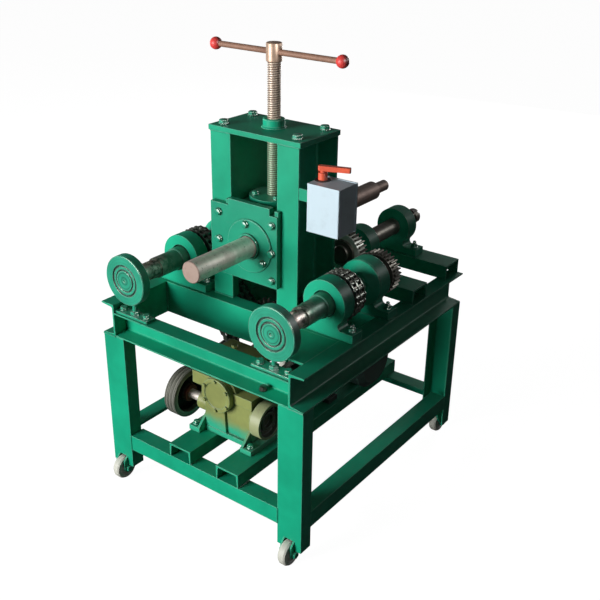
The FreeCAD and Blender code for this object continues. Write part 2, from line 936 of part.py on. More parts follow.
def roller_shaft(x, rear_y):
    """Stepped shaft with a keyway in its front length and a collar let into the pedestal."""
    front = disc_thickness - 14
    collar_end = pedestal_front_y + collar_recess_depth - sliding_gap - front
    collar_start = collar_end - shaft_collar_length
    step = roller_step_y - front
    length = rear_y - front
    profile = [(0, 0), (0, roller_front_radius), (step, roller_front_radius), (step, shaft_radius),
               (collar_start, shaft_radius), (collar_start, shaft_collar_radius - 2),
               (collar_start + 2, shaft_collar_radius), (collar_end, shaft_collar_radius),
               (collar_end, shaft_radius), (length - 2, shaft_radius), (length, shaft_radius - 2), (length, 0)]
    body = turned(profile, Vector(x, front, roller_height), Y, X)
    keyway = box(x - 7, x + 7, disc_thickness + 10, roller_step_y - 12,
                 roller_height + roller_front_radius - 5, roller_height + roller_front_radius + 1)
    return body.cut(keyway)


def gear(x, z, phase, bore):
    """Spur gear with involute flanks thinned for backlash, and a plate over its front."""
    radius = gear_module * gear_teeth / 2
    base = radius * math.cos(math.radians(pressure_angle))
    tip = radius + gear_module
    root = radius - 1.25 * gear_module
    half_tooth = math.pi / (2 * gear_teeth) - gear_backlash / (2 * radius)

    def swing(at_radius):
        roll = math.acos(min(1, base / at_radius))
        pitch_roll = math.radians(pressure_angle)
        return half_tooth + (math.tan(pitch_roll) - pitch_roll) - (math.tan(roll) - roll)

    points = []
    heights = [max(base, root), radius, tip]
    for tooth in range(gear_teeth):
        turn = phase + 2 * math.pi * tooth / gear_teeth
        flank = [(root, -swing(heights[0]) * 1.05)]
        flank += [(height, -swing(height)) for height in heights]
        flank += [(height, swing(height)) for height in reversed(heights)]
        flank += [(root, swing(heights[0]) * 1.05)]
        for at_radius, offset in flank:
            points.append(Vector(x + at_radius * math.cos(turn + offset), gear_front_y,
                                 z + at_radius * math.sin(turn + offset)))
    blank = prism(points, Y * gear_face)
    plate = rod(radius - gear_module, Vector(x, gear_front_y - gear_plate_thickness, z), Y,
                gear_plate_thickness)
    hub_front = gear_front_y - gear_hub_length
    hub = rod(bore + gear_hub_wall, Vector(x, hub_front, z), Y, gear_hub_length)
    return fuse([blank, plate, hub]).cut(rod(bore, Vector(x, hub_front - 1, z), Y,
                                             gear_face + gear_hub_length + 2))


gear_distance = gear_module * gear_teeth + sliding_gap
gear_line = math.radians(gear_line_angle)
die_x = roller_x + gear_distance * math.cos(gear_line)
die_height = roller_height + gear_distance * math.sin(gear_line)


def die_shaft():
    length = die_shaft_rear_y - die_shaft_front_y
    step = die_step_y - die_shaft_front_y
    profile = [(0, 0), (0, die_shaft_radius - 2), (2, die_shaft_radius), (step, die_shaft_radius),
               (step, die_end_radius), (length - 2, die_end_radius), (length, die_end_radius - 2), (length, 0)]
    return turned(profile, Vector(die_x, die_shaft_front_y, die_height), Y, X)


def die_shaft_nut():
    """Round nut on the shaft's rear end, with four hook-spanner slots."""
    start = Vector(die_x, die_shaft_rear_y - die_nut_length - 4, die_height)
    nut = rod(die_nut_radius, start, Y, die_nut_length)
    slots = [rod(die_end_radius, start - Y, Y, die_nut_length + 2)]
    for quarter in range(4):
        slot = box(die_x - 3.5, die_x + 3.5, start.y - 1, start.y + die_nut_length + 1,
                   die_height + die_nut_radius - 4, die_height + die_nut_radius + 1)
        slots.append(slot.rotate(start, Y, 45 + 90 * quarter))
    return nut.cut(slots)


def die_pedestals():
    bore = die_shaft_radius + running_fit
    base = bed_top + drive_beam_height
    return [pedestal(die_x, y, die_height, base, die_pedestal_radius, die_pedestal_foot,
                     die_pedestal_foot_height, pedestal_flare, pedestal_depth, bore)
            for y in (die_middle_pedestal_y, die_rear_pedestal_y)]


def idler_bracket():
    """Pin that carries the idler, standing out from the front cross beam's web."""
    start = Vector(idler_x, beam_front_y + steel_thickness, idler_height)
    length = first_strand_y + strand_pitch + 16 - start.y
    pin = rod(idler_pin_radius, start, Y, length)
    boss = rod(idler_pin_radius + 8, start, Y, 12)
    nut = hexagon(start + Y * length, Y, Z, m16[0], m16[1])
    return fuse([pin, boss, nut])


# ---------------------------------------------------------------- gearbox and motor

def gearbox_housing():
    """Gearbox casting: round wheel case on its neck, square case with a cap, lugs with ribs."""
    rear = gearbox_front_y + gearbox_depth
    foot_top = base_top + gearbox_foot_height
    foot = box(gearbox_foot_left, gearbox_foot_right, gearbox_front_y - gearbox_flange, rear + gearbox_flange,
               base_top, foot_top)
    case = rod(case_radius, Vector(output_x, gearbox_front_y, output_height), Y, gearbox_depth)
    boss = rod(case_cover_radius, Vector(output_x, gearbox_front_y - case_boss_length, output_height), Y,
               case_boss_length + 1)
    neck_front = gearbox_front_y - case_neck_rise
    neck = prism([Vector(output_x - case_neck_left, neck_front, foot_top - 1),
                  Vector(output_x + case_neck_right, neck_front, foot_top - 1),
                  Vector(output_x + case_neck_right - 8, neck_front, output_height),
                  Vector(output_x - case_neck_left + 8, neck_front, output_height)],
                 Y * (gearbox_depth + case_neck_rise))
    ear_left = output_x - case_radius - ear_reach
    ear = box(ear_left, output_x, neck_front, neck_front + ear_depth, ear_bottom, ear_bottom + ear_height)
    box_rear = gearbox_front_y + box_depth
    cube = box(box_left, box_right, gearbox_front_y, box_rear, foot_top - 1, box_top)
    cap = box(box_left - 5, box_right + 5, gearbox_front_y - 5, box_rear + 5, box_top, box_top + cap_height)
    input_boss = rod(input_boss_radius, Vector(output_x - case_radius - input_boss_reach, input_y, input_height),
                     X, case_radius)
    nose = rod(30, Vector(output_x, rear - 1, output_height), Y, 11)
    lid_bottom = output_height + case_radius + turret_rise
    turret = box(output_x - turret_half, output_x + turret_half, lid_front_y + lid_margin, rear,
                 output_height + case_radius / 2, lid_bottom + 1)
    lid = box(output_x - lid_half, output_x + lid_half, lid_front_y, rear + lid_margin,
              lid_bottom, lid_bottom + lid_thickness)
    ring_neck = rod(ring_radius - 16, Vector(box_right - 1, input_y, ring_height), X,
                    ring_start - box_right + 1)
    lugs = []
    for x in (gearbox_foot_left, gearbox_foot_right - gearbox_lug_width):
        for y in (gearbox_front_y - gearbox_lug_reach, rear - 1):
            lugs.append(box(x, x + gearbox_lug_width, y, y + gearbox_lug_reach + 1, base_top, foot_top))
    ribs = [rib(x, 8) for x in (gearbox_foot_left + gearbox_lug_width - 9,
                                gearbox_foot_right - gearbox_lug_width + 1)]
    body = fuse([foot, case, boss, neck, ear, cube, cap, input_boss, nose, turret, lid, ring_neck] + lugs + ribs)
    bores = [rod(output_radius + running_fit, Vector(output_x, rear - 30, output_height), Y, 60),
             rod(input_radius + running_fit, Vector(output_x - case_radius - input_boss_reach - 8, input_y,
                                                    input_height), X, 60)]
    return body.cut(bores)


def rib(x, thickness):
    """Triangular rib from the case's front down to the front edge of a lug."""
    base = base_top + gearbox_foot_height
    return prism([Vector(x, gearbox_front_y + 1, base), Vector(x, gearbox_front_y - gearbox_lug_reach + 2, base),
                  Vector(x, gearbox_front_y + 1, base + gearbox_rib_height)], X * thickness)


def gearbox_covers():
    """Wheel case cover and dished end cover with their bolts, and the lid's plug."""
    edge = case_cover_radius
    thick = case_cover_thickness
    front_profile = [(0, 0), (0, edge), (thick - 2, edge), (thick, edge - 2), (thick, edge - 12),
                     (thick - 3, edge - 14), (thick - 3, 0)]
    cover_back = gearbox_front_y - case_boss_length
    front = turned(front_profile, Vector(output_x, cover_back, output_height), -Y, X)
    rim = ring_end - ring_start
    floor = rim - ring_recess
    hub = rim - ring_recess / 2
    inner = ring_radius - ring_rim
    ring_profile = [(0, 0), (0, ring_radius), (rim, ring_radius), (rim, inner), (floor, inner - 2),
                    (floor, ring_hub_radius + 2), (hub, ring_hub_radius), (hub, ring_eye_radius),
                    (hub - ring_eye_depth, ring_eye_radius), (hub - ring_eye_depth, 0)]
    ring = turned(ring_profile, Vector(ring_start, input_y, ring_height), X, Z)
    solids = [front, ring]
    for sixth in range(6):
        turn = math.radians(30 + 60 * sixth)
        seat = Vector(output_x + case_cover_bolt_circle * math.cos(turn), cover_back - thick,
                      output_height + case_cover_bolt_circle * math.sin(turn))
        solids.append(hexagon(seat, -Y, Z, m6[0], m6[1]))
    for quarter in range(4):
        turn = math.radians(45 + 90 * quarter)
        seat = Vector(ring_start + floor, input_y + ring_bolt_circle * math.cos(turn),
                      ring_height + ring_bolt_circle * math.sin(turn))
        solids.append(hexagon(seat, X, Z, m6[0], m6[1]))
    lid_top = output_height + case_radius + turret_rise + lid_thickness
    solids.append(hexagon(Vector(plug_x, plug_y, lid_top), Z, X, plug_radius * 2, plug_height))
    return solids


def gearbox_output():
    """Output shaft and its duplex sprocket."""
    front = gearbox_front_y + gearbox_depth - 28
    shaft = rod(output_radius, Vector(output_x, front, output_height), Y, output_rear_y - front)
    sprocket = duplex_sprocket(output_x, output_height, output_teeth, pin_angles[0], sprocket_hub,
                               output_radius)
    return [shaft, sprocket]


def grooved_pulley(left, y, z, radius, bore):
    """Three-groove V pulley, dished on its inner face when there is room."""
    margin = (pulley_width - 2 * groove_pitch) / 2
    profile = [(0, bore), (0, radius - 1), (1, radius)]
    for groove in range(3):
        middle = margin + groove * groove_pitch
        profile += [(middle - groove_top / 2, radius), (middle - groove_bottom / 2, radius - groove_depth),
                    (middle + groove_bottom / 2, radius - groove_depth), (middle + groove_top / 2, radius)]
    profile += [(pulley_width - 1, radius), (pulley_width, radius - 1)]
    rim = radius - groove_depth - 7
    hub = bore + 12
    if rim > hub + 8:
        profile += [(pulley_width, rim), (10, rim - 6), (10, hub + 4), (pulley_width, hub)]
    profile.append((pulley_width, bore))
    return turned(profile, Vector(left, y, z), X, Z)


def gearbox_pulley():
    start = pulley_left - 6
    shaft = rod(input_radius, Vector(start, input_y, input_height), X, output_x - case_radius - start)
    return [shaft, grooved_pulley(pulley_left, input_y, input_height, pulley_radius, input_radius)]


def motor_pulley():
    start = pulley_left - 6
    shaft = rod(input_radius, Vector(start, motor_y, motor_height), X, motor_left + 30 - start)
    return [shaft, grooved_pulley(pulley_left, motor_y, motor_height, motor_pulley_radius, input_radius)]


def v_belts():
    """Three belts, each lying in its grooves clear of the turning metal."""
    top = groove_gap
    gap = math.hypot(motor_y - input_y, motor_height - input_height)
    tilt = math.atan2(motor_height - input_height, motor_y - input_y)
    lean = math.asin((pulley_radius - motor_pulley_radius) / gap)
    margin = (pulley_width - 2 * groove_pitch) / 2
    width = groove_bottom - 2 * groove_gap
    solids = []
    for groove in range(3):
        x = pulley_left + margin + groove * groove_pitch - width / 2
        loops = []
        for inset in (top, top + belt_height):
            loops.append(Part.Face(belt_wire(x, pulley_radius - inset, motor_pulley_radius - inset, tilt, lean)))
        solids.append(loops[0].cut(loops[1]).Faces[0].extrude(X * width))
    return solids


def belt_wire(x, big, small, tilt, lean):
    def at(y, z, radius, turn):
        return Vector(x, y + radius * math.cos(turn), z + radius * math.sin(turn))

    up = tilt + math.pi / 2 - lean
    down = tilt - math.pi / 2 + lean
    big_top = at(input_y, input_height, big, up)
    big_low = at(input_y, input_height, big, down)
    big_back = at(input_y, input_height, big, tilt + math.pi)
    small_top = at(motor_y, motor_height, small, up)
    small_low = at(motor_y, motor_height, small, down)
    small_back = at(motor_y, motor_height, small, tilt)
    edges = [Part.Arc(big_top, big_back, big_low).toShape(), Part.makeLine(big_low, small_low),
             Part.Arc(small_low, small_back, small_top).toShape(), Part.makeLine(small_top, big_top)]
    return Part.Wire(edges)


def motor():
    """Ribbed motor body on its feet, end shields, and the fan cover."""
    points = []
    for rib_index in range(motor_ribs):
        turn = 2 * math.pi * rib_index / motor_ribs
        step = math.pi / motor_ribs
        for offset, radius in ((-0.35, motor_radius), (0.35, motor_radius), (0.6, motor_radius - rib_depth),
                               (1.4, motor_radius - rib_depth)):
            at = turn + offset * step
            points.append(Vector(motor_left + 18, motor_y + radius * math.cos(at),
                                 motor_height + radius * math.sin(at)))
    barrel = prism(points, X * (motor_length - 36))
    shield_profile = [(0, 0), (0, 40), (10, motor_radius - 12), (18, motor_radius - 4), (18, 0)]
    drive_end = turned(shield_profile, Vector(motor_left, motor_y, motor_height), X, Z)
    rear_end = rod(motor_radius - 4, Vector(motor_left + motor_length - 18, motor_y, motor_height), X, 18)
    bore = rod(input_radius + running_fit, Vector(motor_left - 1, motor_y, motor_height), X, 40)
    middle = motor_left + motor_length / 2
    left = middle - motor_foot_length / 2
    right = middle + motor_foot_length / 2
    feet = []
    for side in (-1, 1):
        y = motor_y + side * (motor_foot_spread / 2 - 20)
        feet.append(box(left, right, y - 22, y + 22, base_top, base_top + 14))
        inner = motor_y + side * 38
        for x in (left + 12, right - 24):
            feet.append(prism([Vector(x, y + side * 14, base_top + 13), Vector(x, inner, base_top + 13),
                               Vector(x, inner, motor_height - 48), Vector(x, y - side * 8, motor_height - 48)],
                              X * 12))
    terminal = box(middle - 45, middle + 45, motor_y - 42, motor_y + 42,
                   motor_height + motor_radius - 16, motor_height + motor_radius + 34)
    body = fuse([barrel, drive_end, rear_end, terminal] + feet).cut(bore)
    start = motor_left + motor_length
    wall = 3
    dome = [(0, motor_radius - 2), (fan_cover_length - 16, motor_radius - 2),
            (fan_cover_length, motor_radius - 20), (fan_cover_length, 0),
            (fan_cover_length - wall, 0), (fan_cover_length - wall, motor_radius - 22),
            (fan_cover_length - 17, motor_radius - 2 - wall), (0, motor_radius - 2 - wall)]
    cover = turned(dome, Vector(start, motor_y, motor_height), X, Z)
    return [body, cover]


# ---------------------------------------------------------------- switch, pads, fasteners

def switch_box():
    outer = box(switch_left, switch_left + switch_width, switch_front_y, switch_front_y + switch_depth,
                switch_bottom, switch_bottom + switch_height)
    upright = [edge for edge in outer.Edges if is_along(edge, Z)]
    rounded = outer.makeFillet(3, upright)
    post_hole = rod(handle_post_radius + running_fit,
                    Vector(handle_post_x, handle_post_y, switch_bottom + switch_height - 8), Z, 9)
    return rounded.cut(post_hole)


def switch_bracket():
    return box(tower_width / 2, switch_left, tower_front_y + 1, tower_front_y + column_flange_thickness - 2,
               bracket_bottom, bracket_bottom + bracket_height)


def switch_handle():
    base = switch_bottom + switch_height
    post = rod(handle_post_radius, Vector(handle_post_x, handle_post_y, base - 7), Z,
               7 + handle_post_height)
    turn = math.radians(handle_angle)
    along = Vector(math.cos(turn), math.sin(turn), 0)
    across = Vector(-math.sin(turn), math.cos(turn), 0)
    origin = Vector(handle_post_x, handle_post_y, base + handle_post_height - handle_height)
    half = handle_width / 2
    tail = -12
    arm = prism([origin + along * tail - across * half, origin + along * handle_length - across * half * 0.8,
                 origin + along * handle_length + across * half * 0.8, origin + along * tail + across * half],
                Z * handle_height)
    hub = rod(handle_hub_radius, Vector(handle_post_x, handle_post_y, base + sliding_gap), Z,
              handle_hub_height)
    upright = [edge for edge in arm.Edges if is_along(edge, Z)]
    return fuse([post, hub, arm.makeFillet(4, upright)])


def roll_pads():
    """Pad plate with two bolts and a jack stud under the roller disc."""
    solids = []
    seat = bed_bottom + front_rail_height
    for x in (-pad_x, pad_x):
        solids.append(box(x - pad_length / 2, x + pad_length / 2, 6, 6 + pad_width, seat, pad_top))
        middle = Vector(x, 6 + pad_width / 2, pad_top)
        nut = hexagon(middle, Z, X, m16[0], m16[1])
        stud = rod(pad_stud_radius, middle, Z, pad_stud_height)
        solids.append(fuse([nut, stud]))
        for side in (-1, 1):
            solids.append(capscrew(middle + X * (side * pad_bolt_spread / 2), Z, X, m12))
    return solids


def frame_bolts():
    solids = []
    inset = 26
    for x in (-tower_width / 2 + inset, tower_width / 2 - inset):
        for y in (tower_front_y + inset, tower_rear_y - inset):
            solids.append(capscrew(Vector(x, y, tower_top + top_plate_thickness), Z, X, m16))
    half_depth = pedestal_depth / 2
    for x in (-roller_x, roller_x):
        for y in (pedestal_front_y + half_depth, rear_pedestal_front_y + half_depth):
            for side in (-1, 1):
                solids.append(capscrew(Vector(x + side * pedestal_bolt, y, bed_top + pedestal_foot_height),
                                       Z, X, m12))
    die_foot_top = bed_top + drive_beam_height + die_pedestal_foot_height
    for y in (die_middle_pedestal_y + half_depth, die_rear_pedestal_y + half_depth):
        for side in (-1, 1):
            solids.append(capscrew(Vector(die_x + side * die_pedestal_bolt, y, die_foot_top), Z, X, m12))
    reach = front_rail_flange - rail_bolt_y - m16[0] * 0.6
    rail_seat = bed_bottom + flange_thickness(reach, front_rail_flange, steel_thickness)
    solids.append(capscrew(Vector(rail_bolt_x, rail_bolt_y, rail_seat), Z, X, m16))
    foot_top = base_top + gearbox_foot_height
    lug_bolt = gearbox_lug_reach - 17
    for x in (gearbox_foot_left + 15, gearbox_foot_right - 15):
        for y in (gearbox_front_y - lug_bolt, gearbox_front_y + gearbox_depth + lug_bolt):
            solids.append(capscrew(Vector(x, y, foot_top), Z, X, m12))
    return solids


# ---------------------------------------------------------------- export

for left in (True, False):
    for rear in (True, False):
        place = ("rear_" if rear else "front_") + ("left" if left else "right")
        save("leg_" + place, [leg(left, rear)])
        save("caster_wheel_" + place, [caster_wheel(left, rear)])
save("caster_forks", [solid for left in (True, False) for rear in (True, False)
                      for solid in caster_fork(left, rear)])
for place in ("front", "rear", "left", "right"):
    save("bottom_rail_" + place, [bottom_rail(place)])
save("side_channel_right", [side_channel()])
save("side_channel_left", [mirror_x(side_channel())])
save("front_rail", [front_rail()])
save("cross_beams", cross_beams())
save("drive_beams", [drive_beam(middle_beam_front_y, middle_beam_length),
                     drive_beam(frame_depth - drive_beam_depth, drive_beam_length)])
save("bed_plate", [bed_plate()])
save("base_channels", base_channels())
save("tower_columns", tower_columns())
save("top_plate", [top_plate()])
save("screw_nut", [screw_nut()])
save("block_body", [block_body()])
save("block_bearings", block_bearings())
save("guide_plates", [guide_plate(True), guide_plate(False), keeper_strip(True), keeper_strip(False)])
save("block_covers", [block_cover(True), block_cover(False)])
save("block_bolts", block_bolts())
save("screw_collar", [screw_collar()])
save("upper_shaft", [upper_shaft()])
save("press_screw", [press_screw()])
save("tommy_bar", [tommy_bar()])
save("tommy_balls", tommy_balls())
save("right_roller_pedestals", roller_pedestals(roller_x))
save("left_roller_pedestals", roller_pedestals(-roller_x))
save("right_roller_disc", [roller_disc(roller_x)])
save("left_roller_disc", [roller_disc(-roller_x)])
save("right_roller_shaft", [roller_shaft(roller_x, roller_rear_y)])
save("left_roller_shaft", [roller_shaft(-roller_x, left_roller_rear_y)])
save("right_chain_sprocket", [duplex_sprocket(roller_x, roller_height, roller_teeth, pin_angles[1],
                                              shaft_radius + 12, shaft_radius)])
save("left_chain_sprocket", [duplex_sprocket(-roller_x, roller_height, roller_teeth, pin_angles[3],
                                             shaft_radius + 12, shaft_radius)])
save("right_drive_gear", [gear(roller_x, roller_height, gear_line, shaft_radius)])
save("die_shaft_gear", [gear(die_x, die_height, gear_line + math.pi * (1 + 1 / gear_teeth),
                             die_shaft_radius)])
save("die_shaft", [die_shaft(), die_shaft_nut()])
save("die_shaft_pedestals", die_pedestals())
save("idler_sprocket", [duplex_sprocket(idler_x, idler_height, idler_teeth, pin_angles[2],
                                        idler_pin_radius + 12, idler_pin_radius + running_fit)])
save("idler_bracket", [idler_bracket()])
band_ys = ((first_strand_y - chain_inner_half - chain_plate_pack, chain_plate_pack),
           (first_strand_y + chain_inner_half, strand_pitch - 2 * chain_inner_half),
           (first_strand_y + strand_pitch + chain_inner_half, chain_plate_pack))
save("drive_chain", [chain_band(y, width) for y, width in band_ys])
save("gearbox_housing", [gearbox_housing()])
save("gearbox_covers", gearbox_covers())
save("gearbox_output", gearbox_output())
save("gearbox_pulley", gearbox_pulley())
save("motor_pulley", motor_pulley())
save("v_belts", v_belts())
save("motor", motor())
save("switch_box", [switch_box()])
save("switch_bracket", [switch_bracket()])
save("switch_handle", [switch_handle()])
save("roll_pads", roll_pads())
save("frame_bolts", frame_bolts())
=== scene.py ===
import math

import bmesh
import bpy
from mathutils import Matrix, Vector


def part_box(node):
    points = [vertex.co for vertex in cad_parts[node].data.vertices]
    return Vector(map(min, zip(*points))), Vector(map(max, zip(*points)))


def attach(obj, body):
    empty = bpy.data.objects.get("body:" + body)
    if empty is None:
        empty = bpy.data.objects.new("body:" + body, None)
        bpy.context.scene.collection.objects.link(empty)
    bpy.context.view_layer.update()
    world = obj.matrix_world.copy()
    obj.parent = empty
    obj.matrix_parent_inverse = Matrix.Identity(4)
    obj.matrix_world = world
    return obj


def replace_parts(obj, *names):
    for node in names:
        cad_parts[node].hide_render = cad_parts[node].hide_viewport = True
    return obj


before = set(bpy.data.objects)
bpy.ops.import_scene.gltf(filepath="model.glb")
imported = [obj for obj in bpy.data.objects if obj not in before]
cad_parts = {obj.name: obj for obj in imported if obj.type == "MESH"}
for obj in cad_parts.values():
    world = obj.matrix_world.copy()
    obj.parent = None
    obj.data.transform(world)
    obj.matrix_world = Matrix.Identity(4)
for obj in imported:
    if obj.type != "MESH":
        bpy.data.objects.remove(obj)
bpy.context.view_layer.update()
print("frame loaded:", len(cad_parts), "nodes")

# Shapes are in millimetres: x from the middle, y from the stand's front face, z from the floor.
# Finishes and the stage are in metres.
placing = {"centreY": 446.25, "unit": 0.001}
along = {"x": Vector((1, 0, 0)), "y": Vector((0, 1, 0)), "z": Vector((0, 0, 1))}


def at(x, y, z):
    return Vector((x, y - placing["centreY"], z)) * placing["unit"]


def mm(length):
    return length * placing["unit"]


def polar(reach, turn):
    return reach * math.cos(turn), reach * math.sin(turn)


# Node helpers

def feed(tree, socket, value):
    if isinstance(value, bpy.types.NodeSocket):
        tree.links.new(value, socket)
    else:
        socket.default_value = value


def feedAll(tree, sockets, values):
    for key, value in values.items():
        feed(tree, sockets[key], value)


def addNode(tree, kind, inputs=None, **settings):
    node = tree.nodes.new(kind)
    for name, value in settings.items():
        setattr(node, name, value)
    feedAll(tree, node.inputs, inputs or {})
    return node.outputs


def newTree(name, kind, inputs, outputs):
    tree = bpy.data.node_groups.new(name, kind + "NodeTree")
    for way, sockets in (("INPUT", inputs), ("OUTPUT", outputs)):
        for label, sort, *value in sockets:
            socket = tree.interface.new_socket(label, in_out=way, socket_type="NodeSocket" + sort)
            if value:
                socket.default_value = value[0]
    return tree, tree.nodes.new("NodeGroupInput").outputs, tree.nodes.new("NodeGroupOutput").inputs


def maths(tree, operation, first, second=0.0, clamp=False):
    return addNode(tree, "ShaderNodeMath", {0: first, 1: second}, operation=operation, use_clamp=clamp)[0]


def times(tree, first, second, clamp=False):
    return maths(tree, "MULTIPLY", first, second, clamp)


def plus(tree, first, second):
    return maths(tree, "ADD", first, second)


def minus(tree, first, second):
    return maths(tree, "SUBTRACT", first, second)


def vectorMaths(tree, operation, first, second, output="Vector"):
    return addNode(tree, "ShaderNodeVectorMath", {0: first, 1: second}, operation=operation)[output]


def ramp(tree, value, low, high, toLow=0.0, toHigh=1.0):
    return addNode(tree, "ShaderNodeMapRange", {"Value": value, "From Min": low, "From Max": high,
                                                "To Min": toLow, "To Max": toHigh},
                   interpolation_type="SMOOTHSTEP")["Result"]


def fallOff(tree, value, low, high):
    return ramp(tree, value, low, high, 1.0, 0.0)


def band(tree, value, low, high, soft):
    rising = ramp(tree, value, low - soft, low + soft)
    return times(tree, rising, fallOff(tree, value, high - soft, high + soft))


def rgba(colour):
    return colour if isinstance(colour, bpy.types.NodeSocket) else (*colour, 1.0)


def blendColours(tree, share, first, second):
    return addNode(tree, "ShaderNodeMix", {0: share, 6: rgba(first), 7: rgba(second)}, data_type="RGBA")[2]


def layered(tree, tone, *layers):
    for mask, share, colour in layers:
        tone = blendColours(tree, times(tree, mask, share), tone, colour)
    return tone


def noise(tree, coords, scale, detail=3.0, roughness=0.55, dimensions="3D"):
    values = {"W" if dimensions == "1D" else "Vector": coords, "Scale": scale, "Detail": detail,
              "Roughness": roughness}
    return addNode(tree, "ShaderNodeTexNoise", values, noise_dimensions=dimensions)["Fac"]


def objectCoords(tree):
    return addNode(tree, "ShaderNodeTexCoord")["Object"]


def split(tree, vector):
    return addNode(tree, "ShaderNodeSeparateXYZ", {0: vector})


def useGroup(tree, group, **values):
    return addNode(tree, "ShaderNodeGroup", values, node_tree=group)


# Effects that several finishes share. A noise holds its scale, detail and roughness, and an edge holds
# where it starts and where it is full.
edgeMarks = {"samples": 4, "shelterReach": 0.014, "openEdge": (0.55, 0.86), "bentEdge": (0.012, 0.11),
             "patches": (34.0, 5.0, 0.62), "chipStart": 0.85, "chipShare": 0.5, "chipSoft": 0.08,
             "cornerEdge": (0.30, 0.80)}


# Worn is paint chipped from edges down to bare metal. The line output is a painted highlight along every open
# convex edge, and the corner output is painted shade in concave corners, from ambient occlusion.
def makeEdges():
    kind = edgeMarks
    group, given, made = newTree(
        "edges", "Shader", [("Width", "Float", 0.002), ("Amount", "Float", 0.5)],
        [("Worn", "Float"), ("Line", "Float"), ("Corner", "Float"), ("Normal", "Vector")])
    rounded = addNode(group, "ShaderNodeBevel", {"Radius": given["Width"]}, samples=kind["samples"])["Normal"]
    plain = addNode(group, "ShaderNodeNewGeometry")["Normal"]
    bent = minus(group, 1.0, vectorMaths(group, "DOT_PRODUCT", rounded, plain, "Value"))
    shelter = addNode(group, "ShaderNodeAmbientOcclusion", {"Distance": kind["shelterReach"]},
                      samples=kind["samples"])["AO"]
    line = times(group, ramp(group, bent, *kind["bentEdge"]), ramp(group, shelter, *kind["openEdge"]))
    limit = minus(group, kind["chipStart"], times(group, given["Amount"], kind["chipShare"]))
    patches = noise(group, objectCoords(group), *kind["patches"])
    broken = ramp(group, patches, limit, plus(group, limit, kind["chipSoft"]))
    feedAll(group, made, {"Worn": times(group, line, broken, True), "Line": line, "Normal": rounded,
                          "Corner": fallOff(group, shelter, *kind["cornerEdge"])})
    return group


markings = {"broad": (4.0, 0.6), "lines": (2.0, 0.7, "1D"), "bands": (2.0, 0.6, "1D"), "linesPerBand": 18.0}


def makeGrain():
    group, given, made = newTree("grain", "Shader", [("Fine", "Float", 220.0), ("Broad", "Float", 6.0)],
                                 [("Fine", "Float"), ("Broad", "Float")])
    coords = objectCoords(group)
    feedAll(group, made, {"Fine": noise(group, coords, given["Fine"]),
                          "Broad": noise(group, coords, given["Broad"], *markings["broad"])})
    return group


def makeTurningMarks():
    group, given, made = newTree(
        "turningMarks", "Shader", [("Axis", "Vector", (0.0, 1.0, 0.0)), ("Spacing", "Float", 900.0)],
        [("Lines", "Float"), ("Bands", "Float")])
    place = vectorMaths(group, "DOT_PRODUCT", objectCoords(group), given["Axis"], "Value")
    wide = maths(group, "DIVIDE", given["Spacing"], markings["linesPerBand"])
    feedAll(group, made, {"Lines": noise(group, place, given["Spacing"], *markings["lines"]),
                          "Bands": noise(group, place, wide, *markings["bands"])})
    return group


dustFall = {"upwardEdge": (0.55, 0.95), "clouds": (11.0, 6.0, 0.65), "cloudEdge": (0.42, 0.72),
            "cloudShare": 0.7, "specks": (150.0, 2.0, 0.5), "speckEdge": (0.56, 0.68), "speckShare": 0.5}


def makeSettledDust():
    kind = dustFall
    group, given, made = newTree("settledDust", "Shader", [("Amount", "Float", 0.5)], [("Mask", "Float")])
    facing = split(group, addNode(group, "ShaderNodeNewGeometry")["Normal"])["Z"]
    upward = ramp(group, facing, *kind["upwardEdge"])
    coords = objectCoords(group)
    clouds = ramp(group, noise(group, coords, *kind["clouds"]), *kind["cloudEdge"])
    specks = ramp(group, noise(group, coords, *kind["specks"]), *kind["speckEdge"])
    both = plus(group, times(group, clouds, kind["cloudShare"]), times(group, specks, kind["speckShare"]))
    feed(group, made["Mask"], times(group, upward, times(group, both, given["Amount"]), True))
    return group


# Mirrored folds the left half onto the right, so that both roller sets share one centre
def makeAxisDistance():
    group, given, made = newTree(
        "axisDistance", "Shader",
        [("Centre", "Vector", (0.0, 0.0, 0.0)), ("Across", "Vector", (1.0, 0.0, 1.0)),
         ("Mirrored", "Float", 0.0)], [("Radius", "Float")])
    place = objectCoords(group)
    x = split(group, place)["X"]
    folded = minus(group, maths(group, "ABSOLUTE", x), x)
    shift = addNode(group, "ShaderNodeCombineXYZ", {"X": times(group, folded, given["Mirrored"])})[0]
    away = vectorMaths(group, "SUBTRACT", vectorMaths(group, "ADD", place, shift), given["Centre"])
    flat = vectorMaths(group, "MULTIPLY", away, given["Across"])
    feed(group, made["Radius"], vectorMaths(group, "LENGTH", flat, (0.0, 0.0, 0.0), "Value"))
    return group


edges = makeEdges()
grain = makeGrain()
settledDust = makeSettledDust()
turningMarks = makeTurningMarks()
axisDistance = makeAxisDistance()


def axisRadius(tree, kind, **more):
    return useGroup(tree, axisDistance, Centre=kind["centre"], Across=kind["across"], **more)["Radius"]


def freshMaterial(name, metallic=0.0, specular=0.5, coat=0.0):
    material = bpy.data.materials.new(name)
    material.use_nodes = True
    shader = material.node_tree.nodes["Principled BSDF"].inputs
    feedAll(material.node_tree, shader, {"Metallic": metallic, "Specular IOR Level": specular,
                                         "Coat Weight": coat})
    return material, material.node_tree, shader


def unevenGloss(tree, shader, gloss, *layers):
    for mask, share in layers:
        gloss = plus(tree, gloss, times(tree, mask, share))
    feed(tree, shader["Roughness"], gloss)


def relief(tree, shader, height, strength, depth, **normal):
    values = {"Strength": strength, "Distance": depth, "Height": height, **normal}
    feed(tree, shader["Normal"], addNode(tree, "ShaderNodeBump", values)["Normal"])
